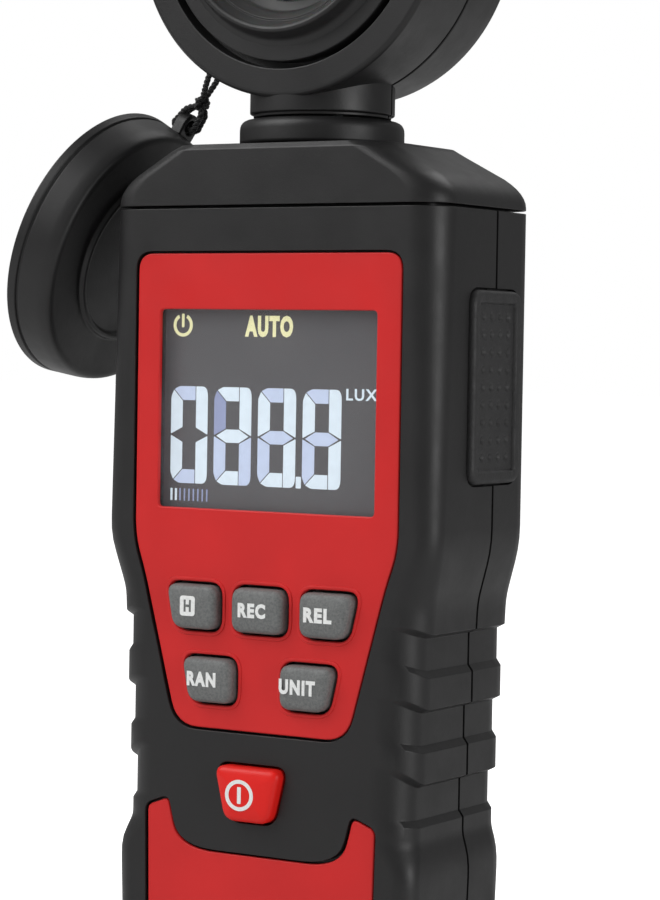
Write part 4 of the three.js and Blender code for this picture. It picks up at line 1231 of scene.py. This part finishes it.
def segment_corners(segment):
    """A seven-segment digit's segment, in the digit's own corner."""
    width, height, stroke = DIGIT["width"], DIGIT["height"], DIGIT["stroke"]
    half, shoulder, tip = height / 2, height / 2 + 1.0, 0.1
    left, right = stroke, width - stroke
    top, brow = height, height - stroke
    upper = {
        "a": [(left, brow, 0), (right, brow, 0), (right, top, 0), (1.5, top, 0.4), (0.5, top - 0.5, 0)],
        "b": [(right, shoulder, 0), (width - tip, half + 0.02, 0), (width, half + 0.15, 0),
              (width, top, SEGMENT_ROUND), (right, top, 0)],
        "f": [(0, half + 0.15, 0), (tip, half + 0.02, 0), (left, shoulder, 0), (left, brow, 0),
              (0.5, top - 0.5, 0), (0, top - 1.6, 0.4)],
    }
    if segment in upper:
        return upper[segment]
    if segment == "g":
        low = height - shoulder
        return [(left, low, 0), (right, low, 0), (width - 0.35, half, 0), (right, shoulder, 0),
                (left, shoulder, 0), (0.35, half, 0)]
    mirrored = {"d": "a", "c": "b", "e": "f"}[segment]
    return [(x, height - y, radius) for x, y, radius in upper[mirrored]][::-1]


def lit_plate(name, corners, front, look):
    plate = prism(name, corners, "y", front - INK_DEPTH, front, steps=5)
    add(soften(plate, 0), "body", look)


def add_digits(front, bottom):
    for i, shown in enumerate(SEGMENTS_LIT):
        left = DIGIT["left"] + i * DIGIT["pitch"]
        for segment, level in shown.items():
            corners = [(left + x, bottom + y, radius) for x, y, radius in segment_corners(segment)]
            lit_plate(f"digit_{i + 1}_{segment}", grown(corners, -SEGMENT_GAP), front, f"segment_{level}")
    point_left = DIGIT["left"] + 3 * DIGIT["pitch"] - 0.9
    point = rectangle((point_left, point_left + 0.82), (bottom + 0.05, bottom + 1.65), 0.12)
    lit_plate("decimal_point", point, front, "segment_bright")


TICKS = {"count": 9, "pitch": 0.76, "width": 0.26, "height": 1.7, "left": 0.35, "above": 0.8, "lit": 2}


# The display's words: their size, their middle across and below the window's top, weight and look.
WORDS = {
    "display_auto": ("AUTO", (7.9, 3.0), (-1.2, 2.25), 0.055, "lit_yellow"),
    "display_lux": ("LUX", (4.9, 1.6), (13.95, 11.4), 0.02, "segment_bright"),
}
ON_SIGN = {"x": -15.6, "below": 2.2, "outer": 1.62, "inner": 1.16, "gap": 56, "hand": 0.2,
           "hand_from": 2.5, "hand_to": 0.6}


def add_on_sign(front, top):
    """A ring open at the top with an upright hand in the gap."""
    x, half = ON_SIGN["x"], ON_SIGN["hand"]
    sign = ring_plate("display_power_sign", ON_SIGN["outer"], ON_SIGN["inner"], (x, top - ON_SIGN["below"]),
                      front - INK_DEPTH, gap=ON_SIGN["gap"])
    outline = rectangle((x - half, x + half), (top - ON_SIGN["hand_from"], top - ON_SIGN["hand_to"]), 0.1)
    gather(sign, prism("hand", outline, "y", front - INK_DEPTH, front))
    add(soften(sign, 0), "body", "lit_yellow")


def add_display_signs(front, left, bottom, top):
    for name, (words, size, (x, below), weight, look) in WORDS.items():
        plate = lettering(name, words, size, (x, top - below), front - INK_DEPTH / 2, weight)
        add(soften(plate, 0), "body", look)
    add_on_sign(front, top)
    foot = bottom + TICKS["above"]
    for i in range(TICKS["count"]):
        x = left + TICKS["left"] + i * TICKS["pitch"]
        share, look = (1.25, "segment_bright") if i < TICKS["lit"] else (0.8, "segment_dim")
        corners = rectangle((x, x + TICKS["width"] * share), (foot, foot + TICKS["height"]), 0)
        lit_plate(f"scale_tick_{i + 1}", corners, front, look)


def add_display():
    low, high = box("display_window")
    window = prism("display_window_visual", grown(window_corners(), 0.28), "y", low.y, high.y)
    add(soften(window, 0.12), "body", "window", "display_window")
    low, high = box("lcd_panel")
    glass = block("lcd_panel_visual", (low.x, high.x), (low.y, high.y), (low.z, high.z))
    add(soften(glass, 0.1), "body", "lcd", "lcd_panel")
    (left, bottom, _), _, (_, top, _), _ = window_corners()
    add_digits(low.y, bottom + DIGIT["above"])
    add_display_signs(low.y, left, bottom, top)


# ---------------------------------------------------------------- fixings

SOCKET = {"width": 0.5, "depth": 0.75, "reach": 0.62}
HEAD_HEIGHT = 0.62     # of a screw's head, as a share of its radius
SCREW_THREAD = {"tip": 0.3, "core": 0.72, "pitch": 0.7, "neck": 0.8}    # shares of the shank's radius


def add_screw(name, body, shank):
    """A pan-head screw with a cross socket, its head to the rear."""
    low, high = box(name)
    x, z = screw_spot(name)
    head = (high.x - low.x) / 2
    head_height = head * HEAD_HEIGHT
    seat = high.y - head_height
    tip, core, pitch, neck = [shank * SCREW_THREAD[key] for key in ("tip", "core", "pitch", "neck")]
    along_y = low.y + shank
    profile = [(0, low.y, 0), (tip, low.y, 0)]
    while along_y < seat - 2 * pitch:
        profile += [(core, along_y, 0), (shank, along_y + pitch / 2, 0)]
        along_y += pitch
    profile += [
        (neck, seat - pitch, 0), (neck, seat, 0), (head, seat, 0.15),
        (head, seat + head_height * 0.35, 0.4), (head * 0.62, high.y, 0.9), (0, high.y, 0),
    ]
    screw = turned(name + "_visual", profile, about_y(z, x), sides=48)
    reach, half = head * SOCKET["reach"], SOCKET["width"] / 2
    top = (high.y - SOCKET["depth"], FAR)
    cut(screw, block("slot", (x - reach, x + reach), top, (z - half, z + half)),
        block("slot", (x - half, x + half), top, (z - reach, z + reach)))
    add(soften(screw, 0.06, 2), body, "steel", name)


THREAD = {"pitch": 1.27, "depth": 0.35, "bore": 3.0}


def add_tripod_insert():
    """A threaded brass bush moulded into the rear wall."""
    low, high = box("tripod_insert")
    radius = (high.x - low.x) / 2
    bore = THREAD["bore"]
    profile = [(0, low.y, 0), (radius, low.y, 0.2), (radius, high.y, 0.25), (bore + 0.5, high.y, 0.1)]
    along_y = high.y - 0.5
    while along_y > low.y + 1.2 + THREAD["pitch"]:
        profile += [(bore, along_y, 0), (bore + THREAD["depth"], along_y - THREAD["pitch"] / 2, 0)]
        along_y -= THREAD["pitch"]
    profile += [(bore, low.y + 1, 0), (0, low.y + 1, 0)]
    insert = turned("tripod_insert_visual", profile, about_y(middle("tripod_insert").z), sides=72)
    add(soften(insert, 0), "body", "brass", "tripod_insert")


# ---------------------------------------------------------------- neck and sensor head

HEAD_LOW, HEAD_HIGH = box("head_front_shell")
HEAD_REAR = box("head_rear_shell")[1].y
HEAD = {
    "radius": HEAD_HIGH.x, "z": HEAD_HIGH.z - HEAD_HIGH.x, "front": HEAD_LOW.y, "rear": HEAD_REAR,
    "parting": HEAD_HIGH.y + 0.15, "wall": 2, "collar": 10.2, "collar_bottom": HEAD_LOW.z,
    "groove": (19.8, 20.8), "groove_depth": 3, "inner_depth": 4.2, "taper": 0.3, "boss": 16.9,
    "collar_top": 21, "collar_sink": 1.6, "collar_foot": 0.5,
}
NECK_COLLAR = {"foot": 0.25, "foot_height": 0.3, "shoulder": 1.8}


def add_neck_collar():
    low, high = box("neck_collar")
    collar = turned("neck_collar_visual", [
        (NECK_BORE, low.z, 0), (high.x - NECK_COLLAR["foot"], low.z, 0),
        (high.x, low.z + NECK_COLLAR["foot_height"], 0.2), (high.x, high.z, NECK_COLLAR["shoulder"]),
        (NECK_BORE, high.z, 0),
    ], steps=7)
    add(soften(collar, 0.1), "body", "black", "neck_collar")


def head_collar(keep_side):
    """Half of the collar below the head, split by the head's parting line."""
    radius, bottom, top = HEAD["collar"], HEAD["collar_bottom"], HEAD["z"] - HEAD["collar_top"]
    foot = radius - HEAD["collar_foot"]
    collar = turned("collar", [
        (0, bottom, 0), (foot, bottom, 0.1), (foot, bottom + 0.35, 0.05), (radius, bottom + 0.5, 0.2),
        (radius, top, 0), (0, top, 0),
    ], steps=3)
    keep(collar, keep_side)
    inside = rod("inside", HEAD["radius"] - HEAD["collar_sink"], "y", (0, HEAD["z"]), -FAR, FAR, sides=96)
    bore = rod("bore", NECK_BORE, "z", (0, 0), bottom - 1, FAR)
    return soften(cut(collar, inside, bore), 0.12)


def add_head_front():
    """The ring in front: a crisp front edge, a groove in its face, and a barrel that tapers rearward."""
    radius, front, edge = HEAD["radius"], HEAD["front"], HEAD["parting"] - SEAM
    inner, outer = HEAD["groove"]
    at_parting = radius - HEAD["taper"]
    hole, floor, back = HEAD["boss"] + PLAY, front + HEAD["groove_depth"], front + HEAD["inner_depth"]
    shell = turned("head_front_shell_visual", [
        (hole, back, 0), (hole, front, 0.1), (inner, front, 0.22), (inner, floor, 0), (outer, floor, 0),
        (outer, front, 0.22), (radius - 0.5, front, 0.25), (radius, front + 0.5, 0.25),
        (at_parting, edge, 0.2), (at_parting - HEAD["wall"], edge, 0), (at_parting - HEAD["wall"], back, 0),
    ], about_y(HEAD["z"]))
    gather(soften(shell, 0), head_collar(before(edge)))
    add(shell, "head", "black", "head_front_shell")


def tab_outline(reach, radius, angle, root):
    """A round-ended ear that points outward at an angle, as points in its own plane."""
    points = [Vector((reach - root, -radius * 0.95))]
    points += [Vector((reach + radius * math.cos(a), radius * math.sin(a)))
               for a in (math.radians(-90 + 180 * i / 16) for i in range(17))]
    points.append(Vector((reach - root, radius * 0.95)))
    turn = Matrix.Rotation(math.radians(angle), 2)
    return [turn @ point for point in points]


EYELET = {"angle": 212, "reach": 26.6, "y": 10, "thickness": 1.6, "radius": 2.4, "hole": 1.4}


def eyelet_at():
    angle = math.radians(EYELET["angle"])
    return Vector((EYELET["reach"] * math.cos(angle), EYELET["y"],
                   HEAD["z"] + EYELET["reach"] * math.sin(angle)))


def head_eyelet():
    shape = tab_outline(EYELET["reach"], EYELET["radius"], EYELET["angle"], 4.4)
    rings = []
    for y in (EYELET["y"] - EYELET["thickness"] / 2, EYELET["y"] + EYELET["thickness"] / 2):
        rings.append([Vector((p.x, y, HEAD["z"] + p.y)) for p in shape])
    at = eyelet_at()
    ear = cut(loft("eyelet", rings), rod("hole", EYELET["hole"], "y", (at.x, at.z), -FAR, FAR, 32))
    return soften(ear, 0.35)


HEAD_SCREWS = ["head_screw_1", "head_screw_2", "head_screw_3"]
# At the back of the head: a fine ring sunk in its face, the screw seats, and the seam's tongue.
HEAD_BACK = {"round": 4.6, "ring": (17.0, 17.6), "ring_depth": 0.4, "seat": 2.15, "seat_depth": 1.9}
HEAD_TONGUE = {"inner": 1.9, "outer": 1.0, "front": 0.9, "rear": 0.5}


def add_head_rear():
    rear, edge, wall = HEAD["rear"], HEAD["parting"] + SEAM, HEAD["wall"]
    radius = HEAD["radius"] - HEAD["taper"]
    ring_inner, ring_outer = HEAD_BACK["ring"]
    ring_floor = rear - HEAD_BACK["ring_depth"]
    shell = turned("head_rear_shell_visual", [
        (radius - wall, edge, 0), (radius, edge, 0.2), (radius - HEAD["taper"], rear, HEAD_BACK["round"]),
        (ring_outer, rear, 0.25), (ring_outer, ring_floor, 0), (ring_inner, ring_floor, 0),
        (ring_inner, rear, 0.25), (0, rear, 0), (0, rear - wall, 0), (radius - wall, rear - wall, 1.2),
    ], about_y(HEAD["z"]), steps=8)
    seat, spots = rear - HEAD_BACK["seat_depth"], [screw_spot(name) for name in HEAD_SCREWS]
    cut(shell, *[rod("seat", HEAD_BACK["seat"], "y", spot, seat, FAR, 40) for spot in spots])
    wide = HEAD_BACK["seat"] + 0.15
    floors = [rod("floor", wide, "y", spot, seat - 0.4, seat - 0.05, 40) for spot in spots]
    inner, outer = radius - HEAD_TONGUE["inner"], radius - HEAD_TONGUE["outer"]
    front, back = edge - HEAD_TONGUE["front"], edge + HEAD_TONGUE["rear"]
    tongue = turned("tongue", rectangle((inner, outer), (front, back), 0), about_y(HEAD["z"]))
    gather(soften(shell, 0.15), head_collar(behind(edge)), head_eyelet(), soften(tongue, 0),
           *[soften(floor, 0) for floor in floors])
    add(shell, "head", "black", "head_rear_shell")


DOME = {"bed": 1.9, "skirt": 1.4, "wall": 1.3, "flange": 1, "steps": 18, "inner_steps": 12}
BEZEL = {"lap": 1.1, "back": 0.4, "flange": 1, "foot": 0.9, "rim": 1}
# The funnel's inner steps, from its rim inward: radius, depth and round.
BEZEL_STEPS = [(14.4, 1.7, 0.25), (14.15, 1.55, 0.2), (13.2, 2.8, 0.3), (12.9, 3.4, 0.3)]


def add_bezel():
    """The raised funnel round the dome, stepped on the inside."""
    low, high = box("sensor_bezel")
    mouth, mouth_front = box("diffuser_dome")[1].x - BEZEL["lap"], HEAD["front"] + DOME["bed"]
    base, front, face = HEAD["boss"], low.y, HEAD["front"]
    foot, rim = base + BEZEL["foot"], base - BEZEL["rim"]
    back, flange = high.y - BEZEL["back"], high.y - BEZEL["flange"]
    bezel = turned("sensor_bezel_visual", [
        (mouth, mouth_front, 0.2), (mouth, back, 0), (high.x, back, 0), (high.x, flange, 0),
        (base, flange, 0), (base, face + 0.2, 0), (foot, face + 0.05, 0), (foot, face - 0.02, 0),
        (base, face - 0.35, 0.6), (rim + 0.1, front, 0.5), (rim - 0.55, front + 0.1, 0.4),
        *[(radius, front + depth, step_round) for radius, depth, step_round in BEZEL_STEPS],
    ], about_y(HEAD["z"]))
    add(soften(bezel, 0), "head", "black", "sensor_bezel")


def dome_arc(sphere, centre, reach, steps):
    """Points along a sphere's profile from its pole out to a reach from the axis."""
    sweep = math.asin(reach / sphere)
    angles = [sweep * step / steps for step in range(steps + 1)]
    return [(sphere * math.sin(angle), centre - sphere * math.cos(angle), 0) for angle in angles]


def add_dome():
    """The white dome: a shallow spherical cap on a short skirt, open behind."""
    low, high = box("diffuser_dome")
    radius, wall = high.x - DOME["skirt"], DOME["wall"]
    height = HEAD["front"] + DOME["bed"] - low.y
    sphere = (radius ** 2 + height ** 2) / (2 * height)
    centre, flange = low.y + sphere, high.y - DOME["flange"]
    dome = turned("diffuser_dome_visual", [
        *dome_arc(sphere, centre, radius, DOME["steps"]),
        (radius, flange, 0.1), (high.x, flange, 0.1), (high.x, high.y, 0), (radius - wall, high.y, 0),
        *dome_arc(sphere - wall, centre, radius - wall, DOME["inner_steps"])[::-1],
    ], about_y(HEAD["z"]))
    add(soften(dome, 0), "head", "white", "diffuser_dome")


# ---------------------------------------------------------------- the hanging cap and its lanyard

SENSOR_CAP = {
    "centre": Vector((-35.1, 4.4, 113.7)), "tilt": 20.4, "face_radius": 19.1, "crest": 19.6, "rim": 20.6,
    "wall": 0.8, "depth": 7, "crest_depth": 1.6, "face": 1.2, "ring": 12.1, "groove": (5.1, 5.7),
}
LUG = {"angle": 18, "reach": 21.4, "radius": 2, "hole": 1.1, "along": -3.2, "thickness": 2, "root": 1.9}


def cap_axes():
    """Up the cap's face, out of its face, and to the rear."""
    tilt = math.radians(SENSOR_CAP["tilt"])
    up = Vector((math.sin(tilt), 0, math.cos(tilt)))
    out = Vector((math.cos(tilt), 0, -math.sin(tilt)))
    return up, out, Vector((0, 1, 0))


def cap_place():
    up, out, rear = cap_axes()
    turn = Matrix((up, -rear, out)).transposed().to_4x4()
    return Matrix.Translation(SENSOR_CAP["centre"]) @ turn


def lug_at():
    up, out, rear = cap_axes()
    angle = math.radians(LUG["angle"])
    around = up * math.cos(angle) + rear * math.sin(angle)
    return SENSOR_CAP["centre"] + around * LUG["reach"] + out * LUG["along"]


def cap_lug():
    up, out, rear = cap_axes()
    shape = tab_outline(LUG["reach"], LUG["radius"], LUG["angle"], LUG["root"])
    rings = []
    for depth in (LUG["along"] - LUG["thickness"] / 2, LUG["along"] + LUG["thickness"] / 2):
        rings.append([SENSOR_CAP["centre"] + up * p.x + rear * p.y + out * depth for p in shape])
    hole = circle(LUG["hole"], sides=32)
    eye = lug_at()
    drill = loft("hole", [[eye + up * p.x + rear * p.y + out * depth for p in hole] for depth in (-5, 5)])
    return soften(cut(loft("lug", rings), drill), 0.35)


def add_sensor_cap():
    """A drafted cup with a low ring on its closed face and a groove round its skirt."""
    crest, rim, depth = SENSOR_CAP["crest"], SENSOR_CAP["rim"], SENSOR_CAP["depth"]
    wall, face, ring = SENSOR_CAP["wall"], SENSOR_CAP["face_radius"], SENSOR_CAP["ring"]
    crest_depth = SENSOR_CAP["crest_depth"]
    draft = (rim - crest) / (depth - crest_depth)
    groove = []
    for at, inward in ((SENSOR_CAP["groove"][1], 0.12), (SENSOR_CAP["groove"][0], -0.12)):
        outside = crest + draft * (at - crest_depth)
        lips = [(outside, -at, 0.12), (outside - 0.35, -at + inward, 0.08)]
        groove += lips if inward > 0 else lips[::-1]
    cap = turned("sensor_cap_visual", [
        (0, -SENSOR_CAP["face"], 0), (crest - wall - 0.4, -SENSOR_CAP["face"], 0.6),
        (rim - wall, -depth, 0.2), (rim, -depth, 0.25), *groove, (crest, -crest_depth, 0.7),
        (face, -0.3, 0.5), (face - 0.6, 0, 0.4), (ring + 0.6, 0, 0.25), (ring + 0.3, 0.7, 0.25),
        (ring - 0.3, 0.7, 0.25), (ring - 0.6, 0, 0.25), (0, 0, 0),
    ], cap_place(), steps=5)
    gather(soften(cap, 0), cap_lug())
    add(cap, "cap", "black", "sensor_cap")


KNOT = Vector((-28.2, 11, 137.2))
TREFOIL = {"size": 0.8, "across": 0.36, "depth": 0.75, "steps": 24}
STRAND = {"radius": 0.23, "lay": 0.25, "pitch": 2.1, "strands": 3, "step": 0.14}


def spline(points, step):
    """Evenly spaced points along a smooth line through the given ones."""
    fine = []
    padded = [points[0] * 2 - points[1], *points, points[-1] * 2 - points[-2]]
    for p, a, b, q in zip(padded, padded[1:], padded[2:], padded[3:]):
        for i in range(24):
            t = i / 24
            bend = (2 * p - 5 * a + 4 * b - q) * t ** 2 + (3 * a - p - 3 * b + q) * t ** 3
            fine.append(0.5 * (2 * a + (b - p) * t + bend))
    fine.append(points[-1])
    lengths = [0.0]
    for a, b in zip(fine, fine[1:]):
        lengths.append(lengths[-1] + (b - a).length)
    count = max(round(lengths[-1] / step), 2)
    route, at = [], 0
    for i in range(count + 1):
        goal = lengths[-1] * i / count
        while at < len(fine) - 2 and lengths[at + 1] < goal:
            at += 1
        span = lengths[at + 1] - lengths[at]
        route.append(fine[at].lerp(fine[at + 1], (goal - lengths[at]) / span if span else 0))
    return route


def frames(route):
    """Two steady sideways directions at each point of a route."""
    sides = []
    side = Vector((0.3, 1, 0.2))
    for i in range(len(route)):
        ahead = route[min(i + 1, len(route) - 1)] - route[max(i - 1, 0)]
        ahead.normalize()
        side = (side - ahead * side.dot(ahead)).normalized()
        sides.append((side.copy(), ahead.cross(side)))
    return sides


def tube(name, route, radius, sides=8):
    rings = []
    for point, (side, other) in zip(route, frames(route)):
        rings.append([point + side * p.x + other * p.y for p in circle(radius, sides=sides)])
    return loft(name, rings)


def laid_cord(name, points):
    """A cord of several strands laid round each other along a line."""
    route = spline(points, STRAND["step"])
    sides = frames(route)
    parts = []
    for strand in range(STRAND["strands"]):
        line = []
        for i, (point, (side, other)) in enumerate(zip(route, sides)):
            angle = 2 * math.pi * (i * STRAND["step"] / STRAND["pitch"] + strand / STRAND["strands"])
            line.append(point + (side * math.cos(angle) + other * math.sin(angle)) * STRAND["lay"])
        parts.append(tube(name, line, STRAND["radius"], 7))
    return gather(*parts)


def loop_points(eye, through, spread, near, close):
    """A loop from the knot, through an eye along a direction, and back to the knot."""
    to_knot = (KNOT - eye).normalized()
    side = through.normalized() * spread
    near_eye = eye + to_knot * near
    return [
        KNOT + side * 0.15 - to_knot * 0.5, KNOT.lerp(near_eye, 0.5) + side * 0.8, near_eye + side,
        eye + side * close - to_knot * 0.25, eye - side * close - to_knot * 0.25, near_eye - side,
        KNOT.lerp(near_eye, 0.5) - side * 0.8, KNOT - side * 0.15 - to_knot * 0.5,
    ]


def add_lanyard():
    """A loop through the head's eyelet, a doubled loop through the cap's lug, and the knot between."""
    _, out, rear = cap_axes()
    parts = [laid_cord("lanyard_visual", loop_points(eyelet_at(), rear, 1.6, 1.9, 0.85))]
    lug = lug_at()
    for shift in (-0.55, 0.55):
        points = [p + rear * shift * (1 if 0 < i < 7 else 0.2)
                  for i, p in enumerate(loop_points(lug, out, 1.7, 1.3, 0.95))]
        parts.append(laid_cord("hitch", points))
    parts.append(laid_cord("knot", knot_points()))
    add(soften(gather(*parts), 0), "cap", "cord", "lanyard")


def knot_points():
    """A trefoil knot drawn tight."""
    points, wide = [], TREFOIL["across"]
    for i in range(TREFOIL["steps"] + 1):
        t = 2 * math.pi * i / TREFOIL["steps"]
        across = (math.sin(t) + 2 * math.sin(2 * t)) * wide
        along_y = (math.cos(t) - 2 * math.cos(2 * t)) * wide
        place = Vector((across, along_y, -math.sin(3 * t) * TREFOIL["depth"]))
        points.append(KNOT + place * TREFOIL["size"])
    return points


# ---------------------------------------------------------------- batteries and inner pieces

CELL_NUB = 1.9         # radius of a cell's positive end


def add_cell(name, nub_up):
    low, high = box(name)
    centre = middle(name)
    radius, length = (high.x - low.x) / 2, high.z - low.z
    profile = [
        (0, 0, 0), (radius - 1.6, 0, 0.1), (radius - 1.5, 0.25, 0.1), (radius, 0.25, 0.5),
        (radius, length - 1.05, 0.6), (radius - 0.9, length - 1.05, 0.2), (radius - 1, length - 1.25, 0.1),
        (CELL_NUB + 0.2, length - 1.25, 0.2), (CELL_NUB, length, 0.4), (0, length, 0),
    ]
    place = Matrix.Translation((centre.x, centre.y, low.z if nub_up else high.z))
    if not nub_up:
        place = place @ Matrix.Rotation(math.pi, 4, "X")
    cell = turned(name + "_visual", profile, place, sides=72)
    add(soften(cell, 0), "body", "cell", name)


SPRING = {"wire": 0.35, "turns": 4, "narrowing": 0.35, "steps": 160}


def add_spring(name):
    """A coil spring between a cell and its contact plate."""
    low, high = box(name)
    centre, wire = middle(name), SPRING["wire"]
    radius = (high.x - low.x) / 2 - wire
    route = []
    for i in range(SPRING["steps"] + 1):
        t = i / SPRING["steps"]
        reach = radius * (1 - SPRING["narrowing"] * t)
        angle = 2 * math.pi * SPRING["turns"] * t
        route.append(Vector((centre.x + reach * math.cos(angle), centre.y + reach * math.sin(angle),
                             low.z + wire + (high.z - low.z - 2 * wire) * t)))
    add(soften(tube(name + "_visual", route, wire), 0), "body", "steel", name)


INNER = {
    "board": ["main_board", "sensor_board"],
    "chip": ["processor", "photodiode"],
    "white": ["backlight"],
    "silicone": ["elastomer_strip", "keypad_mat"],
    "black": ["battery_tray"],
    "steel": ["contact_plate_top_left", "contact_plate_top_right", "contact_plate_bottom_left",
              "contact_plate_bottom_right", "neck_washer", "neck_tube"],
    "filter": ["colour_filter"],
    "cord": ["sensor_lead"],
}


INNER_EDGE = {"width": 0.12, "angle": 50}


def finish_inner_pieces():
    """The CAD pieces that stay: their shapes are right and get soft edges and materials."""
    for look, names in INNER.items():
        for name in names:
            node = frame["nodes"][name]
            dress(node, look)
            bevel = node.modifiers.new("edges", "BEVEL")
            bevel.width = INNER_EDGE["width"] * MM
            bevel.segments = 2
            bevel.limit_method = "ANGLE"
            bevel.angle_limit = math.radians(INNER_EDGE["angle"])


# ---------------------------------------------------------------- assembly

add_camera()
add_stage()

add_front_shell()
add_rear_shell()
add_battery_door()
add_top_cap()
add_face_panel()
add_lower_panel()
for key in KEYS:
    add_key(key, "key")
add_key("power_key", "power")
add_legends()
add_side_pad("side_pad_right", 1)
add_side_pad("side_pad_left", -1)
add_display()
for screw in SCREW_SPOTS:
    add_screw(screw, "body", 1.3)
for screw in HEAD_SCREWS:
    add_screw(screw, "head", 1.0)
add_tripod_insert()

add_neck_collar()
add_head_front()
add_head_rear()
add_bezel()
add_dome()
add_sensor_cap()
add_lanyard()

for number in (1, 2, 3):
    add_cell(f"battery_{number}", nub_up=number != 2)
    add_spring(f"battery_spring_{number}")
finish_inner_pieces()
